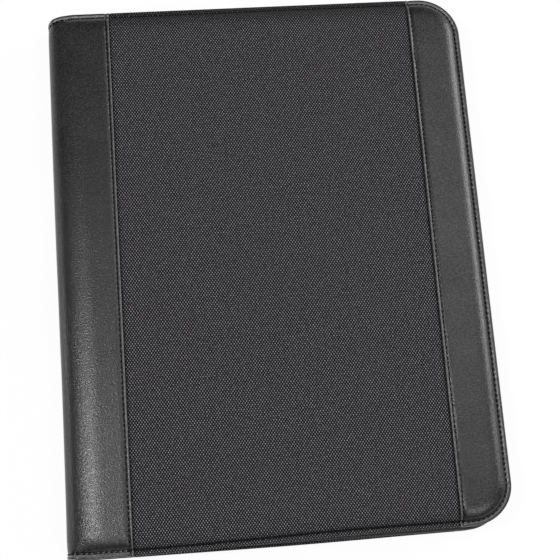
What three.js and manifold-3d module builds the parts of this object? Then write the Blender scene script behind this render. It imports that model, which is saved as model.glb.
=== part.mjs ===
// A padded A4 conference folder, closed and lying on its back cover.
// Millimetres. +X runs from the spine to the free edge, +Y up the page and +Z up from the table.
// The origin is the middle of the closed folder's footprint, at the height of the table.

import * as THREE from 'three';
import { mergeVertices } from 'three/addons/utils/BufferGeometryUtils.js';
import Module from 'manifold-3d';

const wasm = await Module();
wasm.setup();

// Outside of the closed folder. Its width, height and thickness follow from what it holds.
const spineHalfFlat = 2;
const freeCornerRadius = 24;
const sharpestCorner = 1;
const spineBandWidth = 37.2;
const edgeBandWidth = 31.3;

// Strip between the fold and the sleeve, where the pen loop stands
const gutterWidth = 16.3;

// Room for loose papers between the writing pad and the front cover's pockets
const paperRoom = 5.4;

// Layers of a cover, from its outer face to the inside
const leatherThickness = 1;
const fabricThickness = 0.5;
const paddingThickness = 2.8;
const spinePaddingThickness = 0.6;
const boardThickness = 1.5;
const liningThickness = 0.5;
const layerGap = 0.1;

// Stitched rim and the padded shoulder beside it
const rimRound = 1.3;
const stitchInset = 3.3;
const stitchDip = 0.35;
const skinAtStitches = 0.55;
const shoulderFromStitches = 0.6;
const shoulderWidth = 9;
const turnedLip = 3;

// The boards lie inside the stitches, and the stiffener ends where the spine's ends draw in
const boardInsideStitches = 0.7;
const stiffenerInset = 6;

// Gap in the rigid layers where the covers fold, measured on the outer face
const foldGap = 0.6;

// Spine stiffener, which stops short of the folds
const stiffenerThickness = 1.2;
const stiffenerFromFold = 2.6;

// Writing pad, A4 sheets
const sheetWidth = 210;
const sheetLength = 297;
const sheetStack = 4;
const padTopInset = 10;
const padBottomInset = 13;
const padCardThickness = 0.8;
const padBindingDepth = 15;
const padBindingThickness = 0.4;
const padClearance = 0.2;

// Sleeve that holds the pad's card
const sleeveThickness = 0.8;
const sleeveWelt = 2;
const sleeveInset = 1.5;
const sleeveBelowBinding = 77.5;
const padSideGap = 5;
const thumbNotchRadius = 14;

// Pen loop
const penLoopHeadroom = 1.8;
const penLoopWall = 0.8;
const penLoopLength = 28;
const penLoopFootGap = 0.65;
const penLoopFootAngle = Math.PI / 3;
const penLoopMiddleY = 20;

// Document pocket on the inside of the front cover
const pocketThickness = 0.7;
const pocketSpace = 0.6;
const pocketWelt = 3;
const pocketSideInset = 6;
const pocketSpineInset = 16;
const pocketBottomInset = 6;
const pocketBelowCards = 46;
const pocketEdgeDrop = 40;
const pocketCornerRadius = 20;

// Card pockets and window pocket above the document pocket
const cardPocketCount = 3;
const cardPocketWidth = 102;
const cardPocketHeight = 66;
const cardPocketStep = 13;
const cardPocketThickness = 0.5;
const cardPocketTopInset = 12;
const windowFrameFromCards = 15;
const windowFrameSideInset = 12;
const windowFrameHeight = 66;
const windowFrameThickness = 0.6;
const windowFrameBorder = 9;
const windowFilmThickness = 0.25;
const windowFilmLap = 4;
const pocketCorner = 4;

// Fineness of the round stretches
const cornerSteps = 6;
const foldSteps = 3;
const shoulderSteps = 5;
const rimSteps = 6;
const curveSegments = 8;

// Depths of the layers under the outer face, on a cover and in the spine, which has thinner padding
// and a stiffener in place of the board
const outerFace = level(0, 0);
const fabricFace = level(leatherThickness - fabricThickness, leatherThickness - fabricThickness);
const leatherInside = level(leatherThickness, leatherThickness);
const paddingTop = deeper(leatherInside, layerGap, layerGap);
const paddingBottom = deeper(paddingTop, paddingThickness, spinePaddingThickness);
const boardTop = deeper(paddingBottom, layerGap, layerGap);
const boardBottom = deeper(boardTop, boardThickness, stiffenerThickness);
const liningTop = deeper(boardBottom, layerGap, layerGap);
const liningFace = deeper(liningTop, liningThickness, liningThickness);
const stitches = level(paddingBottom.cover - skinAtStitches, stitchDip);
const rimTop = deeper(stitches, -stitchDip, -stitchDip);
const coverThickness = liningFace.cover;
const shoulderStart = stitchInset + shoulderFromStitches;
const shoulderEnd = shoulderStart + shoulderWidth;

// Inside of the folder, from the back cover's lining to the front cover's
const sleeveSpace = padCardThickness + 2 * padClearance;
const padHeight = sleeveSpace + sleeveThickness + padClearance + sheetStack + padBindingThickness;
const cardPocketStack = cardPocketCount * (cardPocketThickness + layerGap);
const insideHeight = padHeight + paperRoom + cardPocketStack;

// Closed folder and its folds
const folderThickness = 2 * coverThickness + insideHeight;
const folderHeight = padTopInset + sheetLength + padBottomInset;
const spineRadius = folderThickness / 2 - spineHalfFlat;
const sleeveWidth = sleeveWelt + padClearance + sheetWidth + padSideGap + sleeveWelt;
const folderWidth = spineRadius + gutterWidth + sleeveWidth + sleeveInset;
const halfWidth = folderWidth / 2;
const halfHeight = folderHeight / 2;
const halfThickness = folderThickness / 2;
const foldX = -halfWidth + spineRadius;
const foldRun = spineHalfFlat + (spineRadius * Math.PI) / 2;
const hingeRun = spineHalfFlat + (spineRadius * Math.PI) / 4;
const freeRun = foldRun + halfWidth - foldX;
const spineSeamX = -halfWidth + spineBandWidth;
const edgeSeamX = halfWidth - edgeBandWidth;
const backLiningFace = coverThickness;
const frontLiningFace = folderThickness - coverThickness;

function level(cover, spine) {
  return { cover, spine };
}

function deeper(from, cover, spine) {
  return level(from.cover + cover, from.spine + spine);
}

// The level a share of the way from one to another
function levelBetween(from, to, share) {
  return deeper(from, (to.cover - from.cover) * share, (to.spine - from.spine) * share);
}

// How deep a level lies at a run: the spine's depth up to the hinge and the cover's from the fold on
function depthAt({ cover, spine }, run) {
  const share = (Math.abs(run) - hingeRun) / (foldRun - hingeRun);
  return spine + (cover - spine) * Math.min(Math.max(share, 0), 1);
}

function material(finish) {
  return new THREE.MeshStandardMaterial({ metalness: 0, ...finish });
}

const leather = () => material({ color: 0x2b2a2c, roughness: 0.42 });
const fabric = () => material({ color: 0x3a393c, roughness: 0.85 });
const foam = () => material({ color: 0xb9b5a8, roughness: 0.95 });
const board = () => material({ color: 0x8c857a, roughness: 0.9 });
const lining = () => material({ color: 0x1d1d20, roughness: 0.8 });
const paper = () => material({ color: 0xf2f1ea, roughness: 0.9 });
const card = () => material({ color: 0x9c9486, roughness: 0.9 });
const tape = () => material({ color: 0x202022, roughness: 0.6 });
const elastic = () => material({ color: 0x19191b, roughness: 0.9 });
const film = () => material({ color: 0xe6ebee, roughness: 0.15, transparent: true, opacity: 0.4 });

// The outer skin runs from the back cover's free edge, round the spine, to the front cover's.
// run is the distance along it from the middle of the spine, above it or below it by sign.
function fold(run, y, under) {
  const side = run < 0 ? -1 : 1;
  const depth = depthAt(under, run);
  const length = Math.abs(run);
  if (length <= spineHalfFlat) {
    return new THREE.Vector3(-halfWidth + depth, y, halfThickness + run);
  }
  if (length <= foldRun) {
    const angle = (length - spineHalfFlat) / spineRadius;
    const radius = spineRadius - depth;
    const up = spineHalfFlat + radius * Math.sin(angle);
    return new THREE.Vector3(foldX - radius * Math.cos(angle), y, halfThickness + side * up);
  }
  return new THREE.Vector3(foldX + length - foldRun, y, halfThickness + side * (halfThickness - depth));
}

// Points and faces of one closed body

function geometryOf(points, triangles) {
  const geometry = new THREE.BufferGeometry();
  const position = points.flatMap((point) => [point.x, point.y, point.z]);
  geometry.setAttribute('position', new THREE.Float32BufferAttribute(position, 3));
  const flip = signedVolume(points, triangles) < 0;
  geometry.setIndex(triangles.flatMap(([a, b, c]) => (flip ? [a, c, b] : [a, b, c])));
  return geometry;
}

function signedVolume(points, triangles) {
  let six = 0;
  for (const [a, b, c] of triangles) {
    six += points[a].dot(new THREE.Vector3().crossVectors(points[b], points[c]));
  }
  return six / 6;
}

function quad(a, b, c, d) {
  return [[a, b, c], [a, c, d]];
}

// Stations of a layer as [inset from the edge, level], from the middle of its outer side
// over the edge to the middle of its inner side

function shoulder(startInset, endInset, top, bottom) {
  const stations = [];
  for (let step = shoulderSteps; step >= 0; step -= 1) {
    const angle = ((Math.PI / 2) * step) / shoulderSteps;
    const inset = startInset + (endInset - startInset) * (1 - Math.cos(angle));
    stations.push([inset, levelBetween(top, bottom, 1 - Math.sin(angle))]);
  }
  return stations;
}

function rimEdge() {
  const stations = [];
  for (let step = 0; step <= rimSteps; step += 1) {
    const angle = Math.PI / 2 - (Math.PI * step) / rimSteps;
    const share = (1 - Math.sin(angle)) / 2;
    stations.push([rimRound * (1 - Math.cos(angle)), levelBetween(rimTop, liningFace, share)]);
  }
  return stations;
}

// The skin, turned over the board's edge, with its outer face at the given level
function skinStations(face) {
  const outer = shoulder(shoulderStart, shoulderEnd, face, stitches);
  const inner = shoulder(shoulderStart + leatherThickness, shoulderEnd, leatherInside, paddingBottom);
  return [
    ...outer,
    [stitchInset, stitches],
    ...rimEdge(),
    [turnedLip, liningFace],
    [turnedLip, liningTop],
    [leatherThickness, liningTop],
    [leatherThickness, paddingBottom],
    ...inner.reverse(),
  ];
}

function paddingStations() {
  const start = shoulderStart + leatherThickness + layerGap;
  return shoulder(start, shoulderEnd, paddingTop, paddingBottom);
}

function slabStations(inset, top, bottom) {
  return [[inset, top], [inset, bottom]];
}

const skin = skinStations(outerFace);
const sunkSkin = skinStations(fabricFace);
const padding = paddingStations();
const boardStations = slabStations(stitchInset + boardInsideStitches, boardTop, boardBottom);
const stiffenerStations = slabStations(stiffenerInset, boardTop, boardBottom);
const liningStations = slabStations(turnedLip + layerGap, liningTop, liningFace);

// The lower half of a cover's outline at an inset: from the fold along the bottom edge and
// round the free corner. The upper half mirrors it.
function lowerOutline(inset, startRun) {
  const y = inset - halfHeight;
  const bend = startRun < foldRun ? runsBetween(startRun, foldRun) : [foldRun];
  const outline = bend.map((run) => [run, y]);
  const radius = Math.max(freeCornerRadius - inset, sharpestCorner);
  for (let step = 0; step <= cornerSteps; step += 1) {
    const angle = ((Math.PI / 2) * step) / cornerSteps;
    outline.push([freeRun - inset - radius * (1 - Math.sin(angle)), y + radius * (1 - Math.cos(angle))]);
  }
  return outline;
}

// One layer of a cover. side is 1 for the front cover and -1 for the back cover.
function coverLayer(stations, startRun, side) {
  const rings = stations.map(([inset, under]) => {
    const lower = lowerOutline(inset, startRun);
    const upper = lower.map(([run, y]) => [run, -y]).reverse();
    return [...lower, ...upper].map(([run, y]) => fold(side * run, y, under));
  });
  const count = rings[0].length;
  const last = rings.length - 1;
  const at = (ring, index) => ring * count + index;
  const triangles = [];
  for (let ring = 0; ring < last; ring += 1) {
    for (let index = 0; index < count - 1; index += 1) {
      const next = index + 1;
      triangles.push(...quad(at(ring, index), at(ring, next), at(ring + 1, next), at(ring + 1, index)));
    }
  }
  for (let index = 0; index < count / 2 - 1; index += 1) {
    const mirrored = count - 1 - index;
    triangles.push(...quad(at(0, index), at(0, mirrored), at(0, mirrored - 1), at(0, index + 1)));
    triangles.push(...quad(at(last, index), at(last, index + 1), at(last, mirrored - 1), at(last, mirrored)));
  }
  triangles.push(...foldWall(stations, startRun, count));
  return geometryOf(rings.flat(), triangles);
}

// The wall of a layer where it ends at the fold, from the first and last of the count points of each ring
function foldWall(stations, run, count) {
  const first = stations.map((_, ring) => ring * count);
  const last = first.map((index) => index + count - 1).reverse();
  const indices = [...first, ...last];
  return facesInside(section(stations, run)).map(([a, b, c]) => [indices[a], indices[b], indices[c]]);
}

// Along a layer's stations at the bottom edge and back along them at the top edge, as [y, level]
function acrossThePage(stations) {
  const lower = stations.map(([inset, under]) => [inset - halfHeight, under]);
  const upper = stations.map(([inset, under]) => [halfHeight - inset, under]).reverse();
  return [...lower, ...upper];
}

// A layer's section at a run, as flat points
function section(stations, run) {
  return acrossThePage(stations).map(([y, under]) => new THREE.Vector2(y, depthAt(under, run)));
}

// Triangles that fill a flat outline, going round the same way as the outline does
function facesInside(outline) {
  const { triangulateShape, area } = THREE.ShapeUtils;
  const turn = Math.sign(area(outline));
  const sameWay = (face) => Math.sign(area(face.map((index) => outline[index]))) === turn;
  return triangulateShape(outline, []).map((face) => (sameWay(face) ? face : [...face].reverse()));
}

// Evenly spaced runs from one place on the skin to another
function runsBetween(from, to) {
  const runs = [];
  for (let step = 0; step <= foldSteps; step += 1) {
    runs.push(from + ((to - from) * step) / foldSteps);
  }
  return runs;
}

// One layer of the spine or of the gutter: its section from top to bottom, carried along the runs
function bentLayer(stations, runs) {
  const line = acrossThePage(stations);
  const points = runs.flatMap((run) => line.map(([y, under]) => fold(run, y, under)));
  const count = line.length;
  const triangles = [];
  for (let step = 0; step < runs.length - 1; step += 1) {
    for (let index = 0; index < count; index += 1) {
      const next = (index + 1) % count;
      const near = step * count;
      const far = near + count;
      triangles.push(...quad(near + index, near + next, far + next, far + index));
    }
  }
  const end = (runs.length - 1) * count;
  triangles.push(...facesInside(section(stations, runs[0])).map(([a, b, c]) => [a, c, b]));
  const endFaces = facesInside(section(stations, runs.at(-1)));
  triangles.push(...endFaces.map((face) => face.map((index) => end + index)));
  return geometryOf(points, triangles);
}

// Cutting and joining

function solidOf(geometry) {
  const bare = geometry.clone();
  bare.deleteAttribute('normal');
  bare.deleteAttribute('uv');
  const merged = mergeVertices(bare);
  const vertProperties = new Float32Array(merged.attributes.position.array);
  const triVerts = new Uint32Array(merged.index.array);
  return new wasm.Manifold(new wasm.Mesh({ numProp: 3, vertProperties, triVerts }));
}

function geometryFrom(solid) {
  const mesh = solid.getMesh();
  const geometry = new THREE.BufferGeometry();
  geometry.setAttribute('position', new THREE.BufferAttribute(new Float32Array(mesh.vertProperties), 3));
  geometry.setIndex(new THREE.BufferAttribute(new Uint32Array(mesh.triVerts), 1));
  return geometry;
}

function box(low, high) {
  const size = new THREE.Vector3().subVectors(high, low);
  const middle = new THREE.Vector3().addVectors(low, high).multiplyScalar(0.5);
  return new THREE.BoxGeometry(size.x, size.y, size.z).translate(middle.x, middle.y, middle.z);
}

// The stretch of a cover's skin between two seams
function between(geometry, fromX, toX) {
  const reach = 2 * folderHeight;
  const slice = box(new THREE.Vector3(fromX, -reach, -reach), new THREE.Vector3(toX, reach, reach));
  return geometryFrom(solidOf(geometry).intersect(solidOf(slice)));
}

// A flat sheet of the given outline between two heights
function sheet(shape, bottom, top) {
  const extrusion = { depth: top - bottom, bevelEnabled: false, curveSegments };
  return new THREE.ExtrudeGeometry(shape, extrusion).translate(0, 0, bottom);
}

function roundedRectangle(left, right, bottom, top, radius) {
  const shape = new THREE.Shape();
  shape.moveTo(left + radius, bottom);
  shape.lineTo(right - radius, bottom);
  shape.absarc(right - radius, bottom + radius, radius, -Math.PI / 2, 0, false);
  shape.lineTo(right, top - radius);
  shape.absarc(right - radius, top - radius, radius, 0, Math.PI / 2, false);
  shape.lineTo(left + radius, top);
  shape.absarc(left + radius, top - radius, radius, Math.PI / 2, Math.PI, false);
  shape.lineTo(left, bottom + radius);
  shape.absarc(left + radius, bottom + radius, radius, Math.PI, 1.5 * Math.PI, false);
  return shape;
}

// A pocket's outline: square beside the spine, round at the free corner, with a straight top edge
function pocketOutline({ left, right, bottom, radius, topAtSpine, topAtEdge }) {
  const shape = new THREE.Shape();
  shape.moveTo(left, bottom);
  shape.lineTo(right - radius, bottom);
  shape.absarc(right - radius, bottom + radius, radius, -Math.PI / 2, 0, false);
  shape.lineTo(right, topAtEdge);
  shape.lineTo(left, topAtSpine);
  return shape;
}

// A sheet that stands out from a lining's face by a thickness, up on the back cover or down on the front
function sheetFrom(shape, face, outward, thickness) {
  const far = face + outward * thickness;
  return sheet(shape, Math.min(face, far), Math.max(face, far));
}

// A panel sewn to the lining on welts at its sides and bottom, with a space under it that opens upwards
function sewnPocket(area, face, outward, space, thickness, welt) {
  const hollowArea = {
    left: area.left + welt,
    right: area.right - welt,
    bottom: area.bottom + welt,
    radius: area.radius - welt,
    topAtSpine: folderHeight,
    topAtEdge: folderHeight,
  };
  const panel = sheetFrom(pocketOutline(area), face, outward, space + thickness);
  const hollow = sheetFrom(pocketOutline(hollowArea), face - outward * thickness, outward, space + thickness);
  return solidOf(panel).subtract(solidOf(hollow));
}

// Sub-parts

const folder = new THREE.Group();

function add(name, geometry, meshMaterial) {
  const mesh = new THREE.Mesh(geometry, meshMaterial);
  mesh.name = name;
  folder.add(mesh);
}

// A cover's skin, padding, board and lining
function addCover(name, side) {
  const startRun = hingeRun + foldGap / 2;
  const leatherSkin = coverLayer(skin, startRun, side);
  const fabricSkin = coverLayer(sunkSkin, startRun, side);
  add(`${name}_spine_band`, between(leatherSkin, -folderWidth, spineSeamX), leather());
  add(`${name}_fabric_panel`, between(fabricSkin, spineSeamX, edgeSeamX), fabric());
  add(`${name}_edge_band`, between(leatherSkin, edgeSeamX, folderWidth), leather());
  add(`${name}_padding`, coverLayer(padding, startRun, side), foam());
  add(`${name}_board`, coverLayer(boardStations, foldRun, side), board());
  add(`${name}_lining`, coverLayer(liningStations, foldRun, side), lining());
  const gutterRuns = runsBetween(side * startRun, side * foldRun);
  add(`${name}_gutter_lining`, bentLayer(liningStations, gutterRuns), leather());
}

function addSpine() {
  const halfRun = hingeRun - foldGap / 2;
  const stiffenerRun = halfRun - stiffenerFromFold;
  const runs = spineRuns(halfRun);
  add('spine_leather', bentLayer(skin, runs), leather());
  add('spine_padding', bentLayer(padding, runs), foam());
  add('spine_stiffener', bentLayer(stiffenerStations, spineRuns(stiffenerRun)), board());
  add('spine_lining', bentLayer(liningStations, runs), leather());
}

// Runs round both of the spine's bends and over the flat between them
function spineRuns(reach) {
  return [...runsBetween(-reach, -spineHalfFlat), ...runsBetween(spineHalfFlat, reach)];
}

// The sleeve is sewn to the back lining inside the rim, and the pad's card goes down into it
const sleeveRight = halfWidth - sleeveInset;
const padRight = sleeveRight - sleeveWelt - padSideGap;
const padLeft = padRight - sheetWidth;
const padTop = halfHeight - padTopInset;
const padBottom = padTop - sheetLength;
const sleeveTop = padTop - padBindingDepth - sleeveBelowBinding;
const sleeve = {
  left: sleeveRight - sleeveWidth,
  right: sleeveRight,
  bottom: sleeveInset - halfHeight,
  radius: freeCornerRadius - sleeveInset,
  topAtSpine: sleeveTop,
  topAtEdge: sleeveTop,
};
const sleeveFace = backLiningFace + sleeveSpace + sleeveThickness;
const sheetsBottom = sleeveFace + padClearance;
const sheetsTop = sheetsBottom + sheetStack;
const cardBottom = backLiningFace + padClearance;
const cardTop = cardBottom + padCardThickness;

function addPadSleeve() {
  const panel = sewnPocket(sleeve, backLiningFace, 1, sleeveSpace, sleeveThickness, sleeveWelt);
  const depth = folderThickness;
  const notch = new THREE.CylinderGeometry(thumbNotchRadius, thumbNotchRadius, depth, 4 * curveSegments);
  notch.rotateX(Math.PI / 2);
  notch.translate((sleeve.left + sleeve.right) / 2, sleeveTop, sleeveFace);
  add('pad_sleeve', geometryFrom(panel.subtract(solidOf(notch))), leather());
}

function addWritingPad() {
  const sheets = box(
    new THREE.Vector3(padLeft, padBottom, sheetsBottom),
    new THREE.Vector3(padRight, padTop - padBindingThickness, sheetsTop),
  );
  const backing = box(
    new THREE.Vector3(padLeft, padBottom, cardBottom),
    new THREE.Vector3(padRight, padTop - padBindingThickness, cardTop),
  );
  add('pad_sheets', sheets, paper());
  add('pad_backing_card', backing, card());
  add('pad_binding', bindingGeometry(), tape());
}

// The binding goes over the top edge of the sheets and between them and the card
function bindingGeometry() {
  const inner = padTop - padBindingThickness;
  const start = padTop - padBindingDepth;
  const outline = new THREE.Shape();
  outline.moveTo(start, cardTop);
  outline.lineTo(inner, cardTop);
  outline.lineTo(inner, cardBottom);
  outline.lineTo(padTop, cardBottom);
  outline.lineTo(padTop, sheetsTop + padBindingThickness);
  outline.lineTo(start, sheetsTop + padBindingThickness);
  outline.lineTo(start, sheetsTop);
  outline.lineTo(inner, sheetsTop);
  outline.lineTo(inner, sheetsBottom);
  outline.lineTo(start, sheetsBottom);
  const strip = new THREE.ExtrudeGeometry(outline, { depth: sheetWidth, bevelEnabled: false });
  const axes = new THREE.Matrix4().makeBasis(
    new THREE.Vector3(0, 1, 0),
    new THREE.Vector3(0, 0, 1),
    new THREE.Vector3(1, 0, 0),
  );
  return strip.applyMatrix4(axes).translate(padLeft, 0, 0);
}

// An elastic band sewn down by two feet, standing in the gutter beside the pad
function addPenLoop() {
  const radius = (insideHeight - penLoopHeadroom) / 2;
  const foot = gutterWidth / 2 - penLoopFootGap;
  const footHeight = radius * (1 - Math.sin(penLoopFootAngle));
  const outline = new THREE.Shape();
  outline.moveTo(-foot, 0);
  outline.lineTo(foot, 0);
  outline.lineTo(foot, footHeight);
  outline.absarc(0, radius, radius, -penLoopFootAngle, Math.PI + penLoopFootAngle, false);
  outline.lineTo(-foot, footHeight);
  const hole = new THREE.Path();
  hole.absarc(0, radius, radius - penLoopWall, 0, 2 * Math.PI, true);
  outline.holes.push(hole);
  const extrusion = { depth: penLoopLength, bevelEnabled: false, curveSegments: 3 * curveSegments };
  const loop = new THREE.ExtrudeGeometry(outline, extrusion);
  loop.rotateX(Math.PI / 2);
  loop.translate(foldX + gutterWidth / 2, penLoopMiddleY + penLoopLength / 2, backLiningFace);
  add('pen_loop', loop, elastic());
}

// The pockets of the front cover's inside
const cardPocketTop = halfHeight - cardPocketTopInset;
const cardPocketBottom = cardPocketTop - cardPocketHeight;
const pocketTop = cardPocketBottom - pocketBelowCards;
const pocket = {
  left: foldX + pocketSpineInset,
  right: halfWidth - pocketSideInset,
  bottom: pocketBottomInset - halfHeight,
  radius: pocketCornerRadius,
  topAtSpine: pocketTop,
  topAtEdge: pocketTop - pocketEdgeDrop,
};

function addDocumentPocket() {
  const panel = sewnPocket(pocket, frontLiningFace, -1, pocketSpace, pocketThickness, pocketWelt);
  add('document_pocket', geometryFrom(panel), leather());
}

// Each card pocket lies on the one behind it and is a step shorter
function addCardPockets() {
  for (let index = 0; index < cardPocketCount; index += 1) {
    const behind = frontLiningFace - layerGap - index * (cardPocketThickness + layerGap);
    const shape = roundedRectangle(
      pocket.left,
      pocket.left + cardPocketWidth,
      cardPocketBottom,
      cardPocketTop - index * cardPocketStep,
      pocketCorner,
    );
    add(`card_pocket_${index + 1}`, sheetFrom(shape, behind, -1, cardPocketThickness), leather());
  }
}

function addIdWindow() {
  const left = pocket.left + cardPocketWidth + windowFrameFromCards;
  const right = pocket.right - windowFrameSideInset;
  const top = cardPocketTop;
  const bottom = top - windowFrameHeight;
  const filmTop = frontLiningFace - layerGap;
  const frameTop = filmTop - windowFilmThickness - layerGap;
  const opening = roundedRectangle(
    left + windowFrameBorder,
    right - windowFrameBorder,
    bottom + windowFrameBorder,
    top - windowFrameBorder,
    pocketCorner,
  );
  const frame = roundedRectangle(left, right, bottom, top, pocketCorner);
  frame.holes.push(opening);
  const filmInset = windowFrameBorder - windowFilmLap;
  const filmShape = roundedRectangle(
    left + filmInset,
    right - filmInset,
    bottom + filmInset,
    top - filmInset,
    pocketCorner,
  );
  add('id_window_frame', sheetFrom(frame, frameTop, -1, windowFrameThickness), leather());
  add('id_window', sheetFrom(filmShape, filmTop, -1, windowFilmThickness), film());
}

addCover('back', -1);
addSpine();
addCover('front', 1);
addPadSleeve();
addPenLoop();
addWritingPad();
addDocumentPocket();
addCardPockets();
addIdWindow();

export default folder;
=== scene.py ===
"""A padded A4 conference folder with a woven front panel between two leather-look bands.

Metres. +X runs from the spine to the free edge, +Y up the page and +Z up from the table.
The folder lies closed on its back cover.
"""

import bisect
import math

import bmesh
import bpy
from mathutils import Matrix, Vector, noise


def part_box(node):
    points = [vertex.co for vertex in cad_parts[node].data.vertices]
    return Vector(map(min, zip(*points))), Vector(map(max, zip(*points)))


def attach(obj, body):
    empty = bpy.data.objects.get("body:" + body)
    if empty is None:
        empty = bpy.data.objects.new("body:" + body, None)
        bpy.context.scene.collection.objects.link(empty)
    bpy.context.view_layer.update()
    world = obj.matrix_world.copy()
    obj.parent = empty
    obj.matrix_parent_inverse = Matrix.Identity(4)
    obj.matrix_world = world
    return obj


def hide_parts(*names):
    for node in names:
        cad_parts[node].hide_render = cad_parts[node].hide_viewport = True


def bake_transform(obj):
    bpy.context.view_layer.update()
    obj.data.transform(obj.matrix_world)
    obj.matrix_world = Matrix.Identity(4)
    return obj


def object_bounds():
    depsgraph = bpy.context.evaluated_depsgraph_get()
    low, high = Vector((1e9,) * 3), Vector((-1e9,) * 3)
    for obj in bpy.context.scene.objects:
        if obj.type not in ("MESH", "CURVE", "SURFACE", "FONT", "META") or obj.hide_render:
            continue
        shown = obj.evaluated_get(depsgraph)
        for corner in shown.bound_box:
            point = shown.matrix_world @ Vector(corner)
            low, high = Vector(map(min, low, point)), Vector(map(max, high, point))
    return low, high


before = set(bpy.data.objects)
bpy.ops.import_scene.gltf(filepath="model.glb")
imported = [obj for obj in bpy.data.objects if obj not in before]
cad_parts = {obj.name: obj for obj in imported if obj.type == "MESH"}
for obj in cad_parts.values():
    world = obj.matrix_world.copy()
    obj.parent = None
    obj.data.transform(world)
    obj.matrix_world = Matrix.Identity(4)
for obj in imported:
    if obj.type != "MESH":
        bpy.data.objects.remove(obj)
CAD_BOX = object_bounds()

MM = 0.001

# The closed folder's outside, from the frame
HALF_WIDTH = CAD_BOX[1].x
HALF_HEIGHT = CAD_BOX[1].y
THICKNESS = CAD_BOX[1].z
FOLD_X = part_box("front_board")[0].x
SPINE_RADIUS = FOLD_X + HALF_WIDTH
SPINE_HALF_FLAT = THICKNESS / 2 - SPINE_RADIUS
SPINE_SEAM_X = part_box("front_fabric_panel")[0].x
EDGE_SEAM_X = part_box("front_fabric_panel")[1].x
COVER_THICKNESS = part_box("back_lining")[1].z
LINING_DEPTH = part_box("back_lining")[0].z
PADDING_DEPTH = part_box("back_padding")[1].z
CORNER_RADIUS = 24 * MM
BACK_CORNER_RADIUS = 26.5 * MM

# Distances along the outer skin, measured from the middle of the spine
FOLD_RUN = SPINE_HALF_FLAT + SPINE_RADIUS * math.pi / 2
HINGE_RUN = SPINE_HALF_FLAT + SPINE_RADIUS * math.pi / 4
SPINE_SEAM_RUN = FOLD_RUN + SPINE_SEAM_X - FOLD_X
EDGE_SEAM_RUN = FOLD_RUN + EDGE_SEAM_X - FOLD_X

# The skin over the padding, and the stitched rim round it
LEATHER = 1.0 * MM
FABRIC_SUNK = 0.55 * MM
STITCH_DEPTH = 3.35 * MM
STITCH_DIP = 0.5 * MM
STITCH_INSET = 2.7 * MM
TROUGH_WIDTH = 0.3 * MM
RIM_CORNER = 0.55 * MM
RIDGE_START = 1.25 * MM
RIDGE_END = 2.35 * MM
SHOULDER_START = 3.3 * MM
SHOULDER_END = 12.9 * MM
TURNED_LIP = 3.0 * MM

# How the padding bulges: the front's height over its frame, the distance it rises over, and slow swells
PLUMP = 1.55 * MM
PLUMP_REACH = 11 * MM
EASE_REACH = 14 * MM
SWELL = 0.12 * MM
SWELL_SIZE = 38 * MM
SWELL_SLICE = 3.7

# The thinner layers of the spine
SPINE_PADDING_DEPTH = 1.7 * MM
SPINE_LINING_DEPTH = 3.1 * MM
SPINE_THICKNESS = 3.6 * MM

# Levels, as depths under the outer face on a cover and in the spine, which is thinner
FACE = (0, 0)
FABRIC_FACE = (FABRIC_SUNK, FABRIC_SUNK)
LEATHER_INSIDE = (LEATHER, LEATHER)
STITCH_LEVEL = (STITCH_DEPTH, STITCH_DIP)
RIM_TOP = (STITCH_DEPTH - STITCH_DIP, 0)
PADDING_LEVEL = (PADDING_DEPTH, SPINE_PADDING_DEPTH)
LINING_LEVEL = (LINING_DEPTH, SPINE_LINING_DEPTH)
LINING_FACE = (COVER_THICKNESS, SPINE_THICKNESS)

# How far the ends are drawn in round the spine
TOP_PULL = 3.6 * MM
BOTTOM_PULL = 0.8 * MM
PULL_START_RUN = FOLD_RUN + 5 * MM
PULL_FULL_RUN = SPINE_HALF_FLAT
PULL_REACH = 45 * MM
FREE_PULL = 2.7 * MM
FREE_PULL_FULL_RUN = FOLD_RUN + 170 * MM
BACK_PULL = 1.3 * MM
BACK_PULL_START_RUN = FOLD_RUN + 100 * MM
BACK_PULL_FULL_RUN = FOLD_RUN + 225 * MM

# How far the spine bows in, with the place and reach of the bow up the page
SPINE_BOW = 0.7 * MM
BOW_MIDDLE = -85 * MM
BOW_REACH = 150 * MM

# The folded edge of the leather along a seam, in millimetres from the seam and under the face
SEAM_PROFILE = (
    (0.0, 0.8), (0.12, 0.4), (0.3, 0.08), (0.55, -0.15), (0.9, -0.22), (1.25, -0.12),
    (1.6, 0.2), (1.85, 0.5), (2.1, 0.6), (2.4, 0.5), (2.8, 0.2), (3.6, 0.0),
)
SEAM_STEPS = (0, 0.12, 0.3, 0.55, 0.9, 1.25, 1.6, 1.85, 2.1, 2.4, 2.8, 3.6, 4.8)
SEAM_CREST = 0.9 * MM
CREST_WEAR_AND_HIGHLIGHT = 0.6
FABRIC_TUCK = 0.4 * MM

# The lines that a skin's material sees, by half width: ridges and folded crests painted lighter, partly worn
# and partly a painted highlight; painted shade in the stitched grooves, at the shoulder's foot and where the
# fabric tucks in; and the stitches' pull
VALLEY_SHADE_INSET = SHOULDER_START - 0.1 * MM
RIDGE_WIDTH = 0.4 * MM
CREST_WIDTH = 0.36 * MM
VALLEY_SHADE_WIDTH = 0.8 * MM
GROOVE_SHADE_WIDTH = 0.4 * MM
TUCK_SHADE_WIDTH = 0.75 * MM
TUCK_WIDTH = 0.8 * MM
RIM_PULL_WIDTH = 0.7 * MM

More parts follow.
